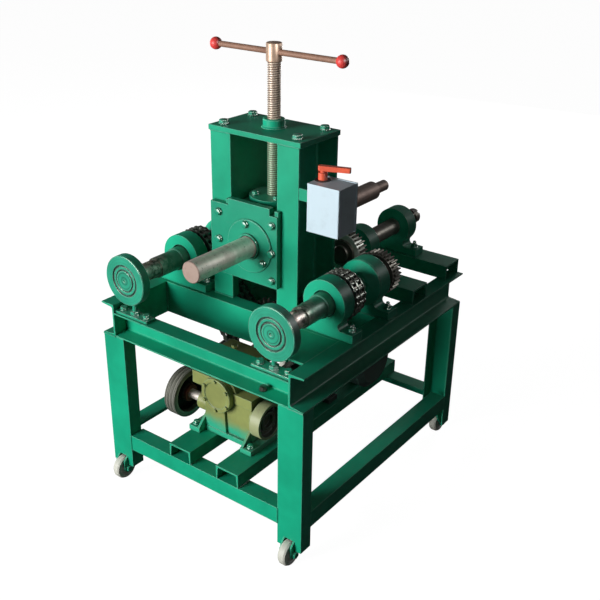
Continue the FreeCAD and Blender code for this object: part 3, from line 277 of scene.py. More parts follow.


# Painted steel and painted castings; each paint is the plain one with its own values.
# A coat holds its share and its colour.
# In each paint, line is the share of painted edge highlight, and the dark share for corners is painted shade.
plainPaint = {"broad": 5.0, "mottle": (0.30, 0.72, 0.35, 1.0), "roughness": 0.34, "uneven": 0.12,
              "dustedGloss": 0.4, "wear": 0.50, "bareMetal": 0.7, "chipHeight": -0.6, "dust": 0.12,
              "line": 0.70, "cornerShade": 0.70}
paints = {
    "framePaint": dict(plainPaint, colour=(0.007, 0.375, 0.208), deep=(0.004, 0.225, 0.125), fine=260.0,
                       relief=0.10, wear=0.34, specular=0.18),
    "castPaint": dict(plainPaint, colour=(0.009, 0.315, 0.182), deep=(0.005, 0.205, 0.118), fine=120.0,
                      relief=0.34, roughness=0.28, specular=0.34, line=0.75, cornerShade=0.75),
    # A lighter copy of the green paint, for the pedestals, the screw nut and the caster forks: painted light.
    "pedestalPaint": dict(plainPaint, colour=(0.010, 0.420, 0.240), deep=(0.006, 0.260, 0.150), fine=120.0,
                          relief=0.36, specular=0.16, line=0.80),
    "boltPaint": dict(plainPaint, colour=(0.018, 0.360, 0.212), deep=(0.008, 0.200, 0.120), fine=160.0,
                      relief=0.24, roughness=0.16, wear=0.85, dust=0.06, specular=0.80, line=0.95,
                      cornerShade=0.85),
    "motorPaint": dict(plainPaint, colour=(0.016, 0.040, 0.032), deep=(0.008, 0.018, 0.015), fine=140.0,
                       relief=0.25, roughness=0.44, wear=0.30, dust=0.40, specular=0.35, line=0.20,
                       cornerShade=0.60),
    "discPaint": dict(
        plainPaint, colour=(0.018, 0.350, 0.212), deep=(0.008, 0.210, 0.128), fine=170.0, relief=0.16,
        broad=11.0, mottle=(0.36, 0.62), roughness=0.33, uneven=0.15, dustedGloss=0.0, specular=0.35,
        wear=0.80, chipHeight=0.0, dust=0.10, line=0.95, cornerShade=0.50, centre=(0.257, 0.0, 0.680),
        across=(1.0, 0.0, 1.0), rings=(420.0, 3.0, 0.7), groove=(0.004, 0.040, 0.026), grooveSoft=0.0006,
        grooves=((0.0098, 0.0114), (0.0226, 0.0240), (0.0292, 0.0336), (0.0415, 0.0468))),
    "gearboxPaint": dict(
        plainPaint, colour=(0.270, 0.300, 0.088), deep=(0.150, 0.170, 0.050), fine=110.0, relief=0.45,
        broad=9.0, mottle=(0.3, 0.7, 0.3, 1.0), uneven=0.2, dustedGloss=0.0, specular=0.45, bareMetal=0.0,
        chipHeight=0.0, dust=0.9, line=0.35, cornerShade=0.75, centre=(0.0, -0.29125, 0.299),
        across=(0.0, 1.0, 1.0), ringStart=0.0985, ringOuter=0.0615, ringEdge=(0.0455, 0.0465),
        rimCoat=(0.7, (0.36, 0.39, 0.22)), wellCoat=(0.8, (0.020, 0.024, 0.012)), drift=0.10,
        sprayEdge=(0.272, 0.222), sprayCoat=(1.0, (0.020, 0.350, 0.205))),
}
# The pale edge colour is a painted highlight and the dark corner colour, with its boost, is painted shade in
# corners; the bare edge colour is real wear.
paintWear = {"edgeWidth": 0.0028, "cornerShadeBoost": 2.0, "depth": 0.0012, "cornerShadeColour": (0.006, 0.030, 0.020),
             "dustColour": (0.17, 0.16, 0.12), "highlightEdgeColour": (0.25, 0.62, 0.45), "bareEdge": (0.30, 0.30, 0.26)}


def mottledCoat(tree, kind, speckle):
    return (blendColours(tree, ramp(tree, speckle["Broad"], *kind["mottle"]), kind["deep"], kind["colour"]),
            speckle["Fine"])


# Roller discs: turned rings round their axis, and painted shade as dark bands at their grooves
def groovedCoat(tree, kind, speckle):
    radius = axisRadius(tree, kind, Mirrored=1.0)
    rings = noise(tree, radius, *kind["rings"], "1D")
    streaked = times(tree, plus(tree, speckle["Broad"], rings), 0.5)
    coat = blendColours(tree, ramp(tree, streaked, *kind["mottle"]), kind["deep"], kind["colour"])
    # Dark bands at the grooves' radii: painted shade in the grooves.
    for low, high in kind["grooves"]:
        coat = blendColours(tree, band(tree, radius, low, high, kind["grooveSoft"]), coat, kind["groove"])
    return coat, rings


# Gearbox: a pale rim and a dark well on its ring cover, and green overspray low on the case
def oversprayedCoat(tree, kind, speckle):
    coat, height = mottledCoat(tree, kind, speckle)
    place = split(tree, objectCoords(tree))
    radius = axisRadius(tree, kind)
    onRing = times(tree, maths(tree, "GREATER_THAN", place["X"], kind["ringStart"]),
                   maths(tree, "LESS_THAN", radius, kind["ringOuter"]))
    rim = times(tree, onRing, ramp(tree, radius, *kind["ringEdge"]))
    well = times(tree, onRing, fallOff(tree, radius, *kind["ringEdge"]))
    drifted = plus(tree, place["Z"], times(tree, minus(tree, speckle["Broad"], 0.5), kind["drift"]))
    sprayed = times(tree, ramp(tree, drifted, *kind["sprayEdge"]), minus(tree, 1.0, onRing))
    return layered(tree, coat, (rim, *kind["rimCoat"]), (well, *kind["wellCoat"]),
                   (sprayed, *kind["sprayCoat"])), height


def makePaint(name, undercoat):
    kind = paints[name]
    material, tree, shader = freshMaterial(name, specular=kind["specular"])
    speckle = useGroup(tree, grain, Fine=kind["fine"], Broad=kind["broad"])
    coat, height = undercoat(tree, kind, speckle)
    wear = useGroup(tree, edges, Width=paintWear["edgeWidth"], Amount=kind["wear"])
    dusty = useGroup(tree, settledDust, Amount=kind["dust"])["Mask"]
    # Painted shade in concave corners, in patches.
    patchMask = times(tree, wear["Corner"], speckle["Broad"])
    # Base colour: painted corner shade, dust, painted edge highlight, then bare worn edges.
    feed(tree, shader["Base Color"],
         layered(tree, coat, (patchMask, kind["cornerShade"] * paintWear["cornerShadeBoost"], paintWear["cornerShadeColour"]),
                 (dusty, 1.0, paintWear["dustColour"]), (wear["Line"], kind["line"], paintWear["highlightEdgeColour"]),
                 (wear["Worn"], 1.0, paintWear["bareEdge"])))
    unevenGloss(tree, shader, kind["roughness"], (speckle["Broad"], kind["uneven"]),
                (dusty, kind["dustedGloss"]))
    feed(tree, shader["Metallic"], times(tree, wear["Worn"], kind["bareMetal"]))
    height = plus(tree, height, times(tree, wear["Worn"], kind["chipHeight"]))
    relief(tree, shader, height, kind["relief"], paintWear["depth"], Normal=wear["Normal"])
    return material


# Turned and oiled steel
steels = {
    "turnedShaft": dict(axis=along["y"], bright=(0.72, 0.62, 0.57), dull=(0.44, 0.37, 0.33), spacing=1100.0,
                        stain=(0.16, 0.12, 0.10), stained=0.40, roughness=0.32, metallic=0.80),
    "headSteel": dict(axis=along["z"], bright=(0.66, 0.47, 0.35), dull=(0.42, 0.28, 0.19), spacing=700.0,
                      stain=(0.20, 0.11, 0.07), stained=0.35, roughness=0.34, metallic=0.40),
    "barSteel": dict(axis=along["x"], bright=(0.35, 0.19, 0.125), dull=(0.22, 0.115, 0.075), spacing=700.0,
                     stain=(0.12, 0.06, 0.04), stained=0.40, roughness=0.55, metallic=0.15),
    "oiledSteel": dict(axis=along["y"], bright=(0.16, 0.15, 0.13), dull=(0.06, 0.058, 0.05), spacing=800.0,
                       stain=(0.02, 0.02, 0.018), stained=0.60, roughness=0.32, metallic=0.90),
    "chainSteel": dict(axis=along["y"], bright=(0.30, 0.32, 0.28), dull=(0.05, 0.055, 0.050), spacing=600.0,
                       stain=(0.015, 0.015, 0.013), stained=0.60, roughness=0.22, metallic=0.90),
    "pulleyIron": dict(axis=along["x"], bright=(0.30, 0.30, 0.25), dull=(0.15, 0.15, 0.13), spacing=900.0,
                       stain=(0.07, 0.065, 0.05), stained=0.55, roughness=0.44, metallic=0.60),
}
steels["rollerShaft"] = dict(steels["turnedShaft"], stained=0.5)
steels["upperShaft"] = dict(steels["turnedShaft"], bright=(0.86, 0.77, 0.70), dull=(0.62, 0.54, 0.48),
                            roughness=0.42, metallic=0.7)
steels["screwSteel"] = dict(steels["headSteel"], bright=(0.86, 0.76, 0.64), dull=(0.62, 0.48, 0.37),
                            stain=(0.20, 0.10, 0.06))
steels["gearSteel"] = steels["oiledSteel"]
steels["inputPulleyIron"] = steels["pulleyIron"]
steelMarks = {"fine": 180.0, "broad": 14.0, "stainEdge": (0.48, 0.72), "lineGloss": 0.12, "stainGloss": 0.3,
              "lineHeight": 0.6, "grainHeight": 0.4, "relief": 0.12, "depth": 0.0006}


def makeSteel(name, tint=None):
    kind, look = steels[name], steelMarks
    material, tree, shader = freshMaterial(name, kind["metallic"])
    marks = useGroup(tree, turningMarks, Axis=kind["axis"], Spacing=kind["spacing"])
    speckle = useGroup(tree, grain, Fine=look["fine"], Broad=look["broad"])
    stains = times(tree, ramp(tree, speckle["Broad"], *look["stainEdge"]), kind["stained"])
    unevenGloss(tree, shader, kind["roughness"], (marks["Lines"], look["lineGloss"]),
                (stains, look["stainGloss"]))
    height = plus(tree, times(tree, marks["Lines"], look["lineHeight"]),
                  times(tree, speckle["Fine"], look["grainHeight"]))
    relief(tree, shader, height, look["relief"], look["depth"])
    tone = blendColours(tree, marks["Bands"], kind["dull"], kind["bright"])
    tone = blendColours(tree, stains, tone, kind["stain"])
    if tint:
        tone = tint(tree, shader, tone, speckle["Broad"])
    feed(tree, shader["Base Color"], tone)
    return material


# Roller shafts: bare by the disc, stained further back, then dusted with green paint
sprayedShaft = {"mottle": (60.0, 5.0, 0.7), "mottleEdge": (0.40, 0.60), "stainEdge": (-0.386, -0.360),
                "stainCoat": (0.85, (0.060, 0.055, 0.040)), "stainCover": 0.5, "drift": 0.05,
                "sprayEdge": (-0.345, -0.235), "sprayCoat": (0.92, (0.022, 0.230, 0.135)), "metallic": 0.75}


def tintRollerShaft(tree, shader, tone, broad):
    kind = sprayedShaft
    coords = objectCoords(tree)
    depth = split(tree, coords)["Y"]
    mottle = ramp(tree, noise(tree, coords, *kind["mottle"]), *kind["mottleEdge"])
    stained = times(tree, ramp(tree, depth, *kind["stainEdge"]), mottle)
    drifted = plus(tree, depth, times(tree, broad, kind["drift"]))
    sprayed = ramp(tree, drifted, *kind["sprayEdge"])
    covered = maths(tree, "MAXIMUM", times(tree, sprayed, kind["sprayCoat"][0]),
                    times(tree, stained, kind["stainCover"]))
    feed(tree, shader["Metallic"], times(tree, minus(tree, 1.0, covered), kind["metallic"]))
    return layered(tree, tone, (stained, *kind["stainCoat"]), (sprayed, *kind["sprayCoat"]))


# Upper shaft: specked and bright in front of the press block, darkened brown behind it as painted shade, with
# a duller end face
upperShaftTint = {"specks": (130.0, 3.0, 0.7), "speckEdge": (0.60, 0.68),
                "speckCoat": (0.75, (0.16, 0.12, 0.10)), "rearShadeEdge": (-0.060, -0.020),
                "rearShadeCoat": (0.9, (0.075, 0.042, 0.032)), "face": -0.44885,
                "faceCoat": (0.8, (0.29, 0.195, 0.155))}


def tintUpperShaft(tree, shader, tone, broad):
    kind = upperShaftTint
    coords = objectCoords(tree)
    depth = split(tree, coords)["Y"]
    specks = ramp(tree, noise(tree, coords, *kind["specks"]), *kind["speckEdge"])
    # Dark brown behind the press block: painted shade.
    return layered(tree, tone, (specks, *kind["speckCoat"]),
                   (ramp(tree, depth, *kind["rearShadeEdge"]), *kind["rearShadeCoat"]),
                   (maths(tree, "LESS_THAN", depth, kind["face"]), *kind["faceCoat"]))


# Screw: painted shade in the roots of its thread, and greened below its nut
screwFinish = {"centre": (0.0, -0.10875, 0.0), "across": (1.0, 1.0, 0.0), "rootEdge": (0.0152, 0.0170),
               "rootShade": (0.85, (0.13, 0.075, 0.050)), "greenEdge": (1.095, 1.065),
               "greenCoat": (0.55, (0.13, 0.52, 0.31))}


def tintScrew(tree, shader, tone, broad):
    kind = screwFinish
    height = split(tree, objectCoords(tree))["Z"]
    shadedRoots = fallOff(tree, axisRadius(tree, kind), *kind["rootEdge"])
    greened = ramp(tree, height, *kind["greenEdge"])
    return layered(tree, tone, (greened, *kind["greenCoat"]), (shadedRoots, *kind["rootShade"]))


# Die shaft's gear: a paler plate inside its teeth
dieGear = {"centre": (0.14177, 0.0, 0.7146), "across": (1.0, 0.0, 1.0), "plate": (0.0400, 0.0565, 0.001),
           "face": (0.52, 0.54, 0.49), "metallic": 0.9, "plateMetallic": 0.5}


def tintGear(tree, shader, tone, broad):
    kind = dieGear
    plate = band(tree, axisRadius(tree, kind), *kind["plate"])
    feed(tree, shader["Metallic"], minus(tree, kind["metallic"], times(tree, plate, kind["plateMetallic"])))
    return blendColours(tree, plate, tone, kind["face"])


# Gearbox pulley: bright rim, dark dish, rusty hub and a bare shaft end
inputPulley = {"centre": (0.0, -0.29125, 0.281), "across": (0.0, 1.0, 1.0),
               "rim": (0.0600, 0.0655, 0.0006), "rimColour": (0.30, 0.32, 0.26),
               "dish": (0.0275, 0.0575, 0.001), "dishColour": (0.012, 0.014, 0.012),
               "hub": (0.0265, 0.0275), "hubColour": (0.16, 0.05, 0.035),
               "shaft": (0.0141, 0.0145), "shaftColour": (0.72, 0.66, 0.60)}


def tintInputPulley(tree, shader, tone, broad):
    kind = inputPulley
    radius = axisRadius(tree, kind)
    for part, shaped in (("rim", band), ("dish", band), ("hub", fallOff), ("shaft", fallOff)):
        tone = blendColours(tree, shaped(tree, radius, *kind[part]), tone, kind[part + "Colour"])
    return tone


# Plastics and rubber
plastics = {
    "switchPlastic": dict(colour=(0.55, 0.68, 0.75), soil=(0.40, 0.50, 0.55), roughness=0.24, fine=700.0,
                          relief=0.05, coat=0.0),
    "handlePlastic": dict(colour=(0.85, 0.125, 0.055), soil=(0.55, 0.07, 0.03), roughness=0.28, fine=500.0,
                          relief=0.04, coat=0.2),
    "ballPlastic": dict(colour=(0.76, 0.060, 0.052), soil=(0.48, 0.030, 0.026), roughness=0.34, fine=300.0,
                        relief=0.03, coat=0.0),
    "wheelNylon": dict(colour=(0.56, 0.56, 0.49), soil=(0.25, 0.24, 0.20), roughness=0.48, fine=350.0,
                       relief=0.12, coat=0.0),
    "beltRubber": dict(colour=(0.140, 0.140, 0.115), soil=(0.240, 0.235, 0.195), roughness=0.62, fine=420.0,
                       relief=0.25, coat=0.0),
    "sealRubber": dict(colour=(0.012, 0.013, 0.012), soil=(0.030, 0.030, 0.026), roughness=0.40, fine=300.0,
                       relief=0.2, coat=0.0),
}
plasticMarks = {"broad": 16.0, "soilEdge": (0.52, 0.80), "soilShare": 0.6, "uneven": 0.15,
                "edgeWidth": 0.0016, "depth": 0.0006}


def makePlastic(name):
    kind, look = plastics[name], plasticMarks
    material, tree, shader = freshMaterial(name, coat=kind["coat"])
    speckle = useGroup(tree, grain, Fine=kind["fine"], Broad=look["broad"])
    patchMask = ramp(tree, speckle["Broad"], *look["soilEdge"])
    feed(tree, shader["Base Color"], layered(tree, kind["colour"], (patchMask, look["soilShare"], kind["soil"])))
    unevenGloss(tree, shader, kind["roughness"], (speckle["Broad"], look["uneven"]))
    rounded = useGroup(tree, edges, Width=look["edgeWidth"])["Normal"]
    relief(tree, shader, speckle["Fine"], kind["relief"], look["depth"], Normal=rounded)
    return material


undercoats = {"discPaint": groovedCoat, "gearboxPaint": oversprayedCoat}
tints = {"rollerShaft": tintRollerShaft, "upperShaft": tintUpperShaft, "screwSteel": tintScrew,
         "gearSteel": tintGear, "inputPulleyIron": tintInputPulley}
finishes = {name: makePaint(name, undercoats.get(name, mottledCoat)) for name in paints}
finishes.update({name: makeSteel(name, tints.get(name)) for name in steels})
finishes.update({name: makePlastic(name) for name in plastics})
print("finishes made:", len(finishes))

# Which finish each node carries; the rest of the stand is in the frame's paint
nodeFinish = {
    "pedestalPaint": ["left_roller_pedestals", "right_roller_pedestals", "die_shaft_pedestals", "screw_nut",
                      "caster_forks"],
    "castPaint": ["block_body", "guide_plates", "block_covers", "screw_collar", "idler_bracket"],
    "boltPaint": ["block_bolts", "frame_bolts", "roll_pads"],
    "discPaint": ["left_roller_disc", "right_roller_disc"],
    "turnedShaft": ["block_bearings"],
    "upperShaft": ["upper_shaft"],
    "rollerShaft": ["left_roller_shaft", "right_roller_shaft"],
    "screwSteel": ["press_screw"],
    "barSteel": ["tommy_bar"],
    "ballPlastic": ["tommy_balls"],
    "oiledSteel": ["die_shaft", "right_drive_gear", "left_chain_sprocket", "right_chain_sprocket",
                   "idler_sprocket", "gearbox_output"],
    "gearSteel": ["die_shaft_gear"],
    "chainSteel": ["drive_chain"],
    "pulleyIron": ["motor_pulley"],
    "inputPulleyIron": ["gearbox_pulley"],
    "beltRubber": ["v_belts"],
    "motorPaint": ["motor"],
    "gearboxPaint": ["gearbox_housing", "gearbox_covers"],
    "switchPlastic": ["switch_box"],
    "handlePlastic": ["switch_handle"],
    "wheelNylon": ["caster_wheel_front_left", "caster_wheel_front_right",
                   "caster_wheel_rear_left", "caster_wheel_rear_right"],
}
finishOf = {node: finish for finish, members in nodeFinish.items() for node in members}
for node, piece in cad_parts.items():
    piece.data.materials.clear()
    piece.data.materials.append(finishes[finishOf.get(node, "framePaint")])


# Mesh helpers

def linked(name, data):
    piece = bpy.data.objects.new(name, data)
    bpy.context.scene.collection.objects.link(piece)
    return piece


def meshPiece(name, shape, material):
    data = bpy.data.meshes.new(name)
    shape.to_mesh(data)
    shape.free()
    data.materials.append(material)
    return linked(name, data)


def closeUp(shape):
    bmesh.ops.remove_doubles(shape, verts=shape.verts, dist=1e-6)
    bmesh.ops.dissolve_degenerate(shape, edges=shape.edges, dist=1e-7)


def pieceFrom(name, shape, finish):
    closeUp(shape)
    bmesh.ops.recalc_face_normals(shape, faces=shape.faces)
    return meshPiece(name, shape, finishes[finish])


def stack(shape, levels):
    rings = [[shape.verts.new(place) for place in level] for level in levels]
    count = max(len(ring) for ring in rings)
    for first, second in zip(rings, rings[1:]):
        for step in range(count):
            ahead = (step + 1) % count
            corners = [first[step % len(first)], first[ahead % len(first)],
                       second[ahead % len(second)], second[step % len(second)]]
            unique = list(dict.fromkeys(corners))
            if len(unique) > 2:
                shape.faces.new(unique)


# A profile is a list of distances along the axis with their radii
def lathe(shape, profile, centre, axis, count=48):
    side = along["z"] if axis == along["x"] else along["x"]
    other = axis.cross(side)
    levels = []
    for rise, radius in profile:
        middle = centre + axis * mm(rise)
        places = [polar(mm(radius), 2 * math.pi * step / count) for step in range(count if radius > 0 else 1)]
        levels.append([middle + side * u + other * v for u, v in places])
    stack(shape, levels)


def flatten(piece):
    seen = piece.evaluated_get(bpy.context.evaluated_depsgraph_get())
    data = bpy.data.meshes.new_from_object(seen)
    piece.modifiers.clear()
    data.name = piece.data.name
    piece.data = data
    return piece


def finished(piece, body, angle=32.0):
    piece.data.shade_smooth()
    piece.data.set_sharp_from_angle(angle=math.radians(angle))
    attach(piece, body)
    return piece


# Press screw with its thread; the thread is given as shares of its lead with their radii
screw = {"x": 0.0, "y": 337.5, "foot": 867.3, "flangeLow": 879.3, "flangeHigh": 887.7, "flange": 27.7,
         "radius": 18.0, "root": 15.0, "lead": 6.0, "spareTurns": 3, "sunkLow": 0.5, "sunkHigh": 2.0,
         "shares": ((0.0, "root"), (0.30, "root"), (0.46, "radius"), (0.84, "radius")), "steps": 44,
         "headLow": 1259.0, "top": 1308.0, "head": 21.5, "headEase": 2.0, "headSteps": 64,
         "headRound": ((3.0, 0.0), (1.0, 1.2), (0.0, 3.0)), "barHeight": 1284.0, "hole": 8.1,
         "holePast": 6.0, "holeSteps": 32}


def makeScrew():
    kind = screw
    steps, lead = kind["steps"], kind["lead"]
    shape = bmesh.new()
    low, high = kind["flangeHigh"] - kind["sunkLow"], kind["headLow"] + kind["sunkHigh"]
    turns = int((high - low) / lead) + kind["spareTurns"]
    grid = []
    for height, radius in [(low + lead * (turn + share), kind[reach]) for turn in range(-1, turns)
                           for share, reach in kind["shares"]]:
        ring = []
        for step in range(steps + 1):
            rise = height + lead * step / steps
            x, y = polar(radius if low < rise < high else kind["root"], 2 * math.pi * step / steps)
            ring.append(shape.verts.new(at(kind["x"] + x, kind["y"] + y, min(max(rise, low), high))))
        grid.append(ring)
    for first, second in zip(grid, grid[1:]):
        for step in range(steps):
            shape.faces.new([first[step], first[step + 1], second[step + 1], second[step]])
    closeUp(shape)
    bmesh.ops.holes_fill(shape, edges=[edge for edge in shape.edges if edge.is_boundary], sides=0)
    flangeLow, flangeHigh = kind["flangeLow"] - kind["foot"], kind["flangeHigh"] - kind["foot"]
    lathe(shape, [(0, 0), (0, kind["radius"]), (flangeLow, kind["radius"]), (flangeLow, kind["flange"]),
                  (flangeHigh, kind["flange"]), (flangeHigh, 0)],
          at(kind["x"], kind["y"], kind["foot"]), along["z"], steps)
    return pieceFrom("pressScrewThreaded", shape, "screwSteel")


def makeScrewHead():
    kind = screw
    shape = bmesh.new()
    height, radius = kind["top"] - kind["headLow"], kind["head"]
    crown = [(height - down, radius - inward) for down, inward in kind["headRound"]]
    lathe(shape, [(0, 0), (0, radius - kind["headEase"]), (kind["headEase"], radius), *crown, (height, 0)],
          at(kind["x"], kind["y"], kind["headLow"]), along["z"], kind["headSteps"])
    head = pieceFrom("pressScrewHead", shape, "headSteel")
    cutter = bmesh.new()
    reach = radius + kind["holePast"]
    lathe(cutter, [(0, 0), (0, kind["hole"]), (2 * reach, kind["hole"]), (2 * reach, 0)],
          at(kind["x"] - reach, kind["y"], kind["barHeight"]), along["x"], kind["holeSteps"])
    drill = pieceFrom("drill", cutter, "headSteel")
    carve = head.modifiers.new("hole", "BOOLEAN")
    carve.operation = "DIFFERENCE"
    carve.solver = "EXACT"
    carve.object = drill
    flatten(head)
    bpy.data.objects.remove(drill)
    return head


screwShank = finished(makeScrew(), "press_screw", 24.0)
finished(makeScrewHead(), "press_screw")
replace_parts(screwShank, "press_screw")
print("press screw made")


# Geometry Nodes trees that seat copies on points and run beads along lines

def modifierTree(name, *inputs):
    return newTree(name, "Geometry", [("Geometry", "Geometry"), *inputs, ("Finish", "Material")],
                   [("Geometry", "Geometry")])


def endTree(tree, geometry, given, made):
    real = addNode(tree, "GeometryNodeRealizeInstances", {0: geometry})[0]
    coat = addNode(tree, "GeometryNodeSetMaterial", {"Geometry": real, "Material": given["Finish"]})[0]
    feed(tree, made["Geometry"], coat)
    return tree


def makeSeatTree():
    tree, given, made = modifierTree("seatEachCopy", ("Copy", "Object"))
    turned = addNode(tree, "GeometryNodeInputNamedAttribute", {"Name": "seatTurn"},
                     data_type="FLOAT_VECTOR")[0]
    shape = addNode(tree, "GeometryNodeObjectInfo", {"Object": given["Copy"]}, transform_space="ORIGINAL")
    seats = {"Points": given["Geometry"], "Instance": shape["Geometry"], "Rotation": turned}
    return endTree(tree, addNode(tree, "GeometryNodeInstanceOnPoints", seats)[0], given, made)


beads = {"step": 0.0012, "wave": 1400.0, "patches": 70.0, "uneven": 0.9, "sides": 8}


def makeBeadTree():
    tree, given, made = modifierTree("runBead", ("Radius", "Float"), ("Ripple", "Float"))
    line = addNode(tree, "GeometryNodeMeshToCurve", {0: given["Geometry"]})[0]
    fine = addNode(tree, "GeometryNodeResampleCurve", {"Curve": line, "Length": beads["step"]},
                   mode="LENGTH")[0]
    travelled = addNode(tree, "GeometryNodeSplineParameter")["Length"]
    wave = times(tree, maths(tree, "SINE", times(tree, travelled, beads["wave"])), given["Ripple"])
    patches = noise(tree, addNode(tree, "GeometryNodeInputPosition")[0], beads["patches"])
    swell = plus(tree, wave, times(tree, minus(tree, patches, 0.5), beads["uneven"]))
    sized = addNode(tree, "GeometryNodeSetCurveRadius", {"Curve": fine, "Radius": plus(tree, swell, 1.0)})[0]
    section = addNode(tree, "GeometryNodeCurvePrimitiveCircle", {"Resolution": beads["sides"],
                                                                 "Radius": given["Radius"]})[0]
    return endTree(tree, addNode(tree, "GeometryNodeCurveToMesh", {"Curve": sized, "Profile Curve": section,
                                                                   "Fill Caps": True})[0], given, made)


seatTree = makeSeatTree()
beadTree = makeBeadTree()


def nodesPiece(name, places, lines, tree, values):
    data = bpy.data.meshes.new(name)
    data.from_pydata(places, lines, [])
    piece = linked(name, data)
    shaping = piece.modifiers.new("shaping", "NODES")
    shaping.node_group = tree
    for socket in tree.interface.items_tree:
        if socket.name in values:
            shaping[socket.identifier] = values[socket.name]
    return piece


def repeated(name, copy, seats, finish):
    piece = nodesPiece(name, [seat for seat, _ in seats], [], seatTree,
                       {"Copy": copy, "Finish": finishes[finish]})
    attribute = piece.data.attributes.new("seatTurn", "FLOAT_VECTOR", "POINT")
    attribute.data.foreach_set("vector", [value for _, turn in seats for value in turn])
    flatten(piece)
    bpy.data.objects.remove(copy)
    return piece


def joined(name, pieces, finish):
    shape = bmesh.new()
    for piece in pieces:
        shape.from_mesh(piece.data)
        bpy.data.objects.remove(piece)
    return meshPiece(name, shape, finishes[finish])


# Roller chain over the gearbox output, both rollers and the idler
chain = {"pitch": 19.05, "roller": 5.95, "rollerLength": 11.2, "rollerEase": 0.4, "rollerSteps": 16,
         "pin": 2.9, "pinEnd": 1.6, "pinEase": 0.6, "pinSteps": 10, "plate": 1.9, "innerHeight": 17.2,
         "outerHeight": 15.6, "innerHalf": 6.6, "innerShare": 0.5, "outerShare": 1.62, "spanPlates": 4.6,
         "lobe": 70, "lobeSteps": 8, "waist": 0.74, "strandPitch": 22.78, "firstStrandY": 291.0,
         "rollerX": 257.0, "rollerZ": 680.0, "outputX": -28.0, "outputZ": 347.0, "idlerX": 5.0, "teeth": 20,
         "outputTeeth": 15, "idlerTeeth": 13, "idlerSearch": 0.5, "searchSteps": 40, "least": 1e-6}
idlerLow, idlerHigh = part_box("idler_sprocket")
chain["idlerZ"] = (idlerLow.z + idlerHigh.z) / 2 / placing["unit"]


def pitchRadius(teeth):
    return chain["pitch"] / (2 * math.sin(math.pi / teeth))


def chainStops(idlerZ):
    return [(chain["outputX"], chain["outputZ"], chain["outputTeeth"], 1),
            (chain["rollerX"], chain["rollerZ"], chain["teeth"], 1),
            (chain["idlerX"], idlerZ, chain["idlerTeeth"], -1),
            (-chain["rollerX"], chain["rollerZ"], chain["teeth"], 1)]


def chainRoute(stops):
    spans = []
    for (x0, z0, teeth0, sense0), (x1, z1, teeth1, sense1) in zip(stops, stops[1:] + stops[:1]):
        reach0 = sense0 * pitchRadius(teeth0)
        rise = sense1 * pitchRadius(teeth1) - reach0
        gap = math.hypot(x1 - x0, z1 - z0)
        run = math.sqrt(gap * gap - rise * rise)
        heading = math.atan2(z1 - z0, x1 - x0) - math.atan2(rise, run)
        start = (x0 + reach0 * math.sin(heading), z0 - reach0 * math.cos(heading))
        spans.append((start, heading, run))
    return spans


def chainPins(idlerZ):
    stops = chainStops(idlerZ)
    spans = chainRoute(stops)
    pins = []
    ahead = 0.0
    for index, (start, heading, run) in enumerate(spans):
        place = ahead * chain["pitch"]
        while place < run - chain["least"]:
            x, z = polar(place, heading)
            pins.append((start[0] + x, start[1] + z))
            place += chain["pitch"]
        ahead = (place - run) / chain["pitch"]
        centreX, centreZ, teeth, sense = stops[(index + 1) % len(stops)]
        after = spans[(index + 1) % len(spans)][1]
        wrap = ((after - heading) * sense) % (2 * math.pi)
        step = 2 * math.pi / teeth
        turned = ahead * step
        while turned < wrap - chain["least"]:
            x, z = polar(pitchRadius(teeth), heading + sense * (turned - math.pi / 2))
            pins.append((centreX + x, centreZ + z))
            turned += step
        ahead = (turned - wrap) / step
    return pins, ahead


# The idler's height at which the loop closes on a whole link
def closedIdler():
    low, high = chain["idlerZ"] - chain["idlerSearch"], chain["idlerZ"] + chain["idlerSearch"]
    for _ in range(chain["searchSteps"]):
        middle = (low + high) / 2
        _, left = chainPins(middle)
        if left < round(left):
            low = middle
        else:
            high = middle
    return (low + high) / 2


def linkPlate(name, height):
    shape = bmesh.new()
    half, radius, steps = chain["pitch"] / 2, height / 2, chain["lobeSteps"]
    outline = []
    for side in (1, -1):
        for step in range(steps + 1):
            u, v = polar(radius, math.radians(chain["lobe"] * (2 * step / steps - 1)))
            outline.append((side * (half + u), side * v))
        outline.append((0.0, side * radius * chain["waist"]))
    faces = []
    for y in (-chain["plate"] / 2, chain["plate"] / 2):
        faces.append([shape.verts.new((mm(u), mm(y), mm(v))) for u, v in outline])
        shape.faces.new(faces[-1])
    for step in range(len(outline)):
        ahead = (step + 1) % len(outline)
        shape.faces.new([faces[0][step], faces[1][step], faces[1][ahead], faces[0][ahead]])
    return pieceFrom(name, shape, "chainSteel")


def barrel(name, radius, length, ease, count):
    shape = bmesh.new()
    lathe(shape, [(0, 0), (0, radius - ease), (ease, radius), (length - ease, radius),
                  (length, radius - ease), (length, 0)], along["y"] * -mm(length) / 2, along["y"], count)
    return pieceFrom(name, shape, "chainSteel")


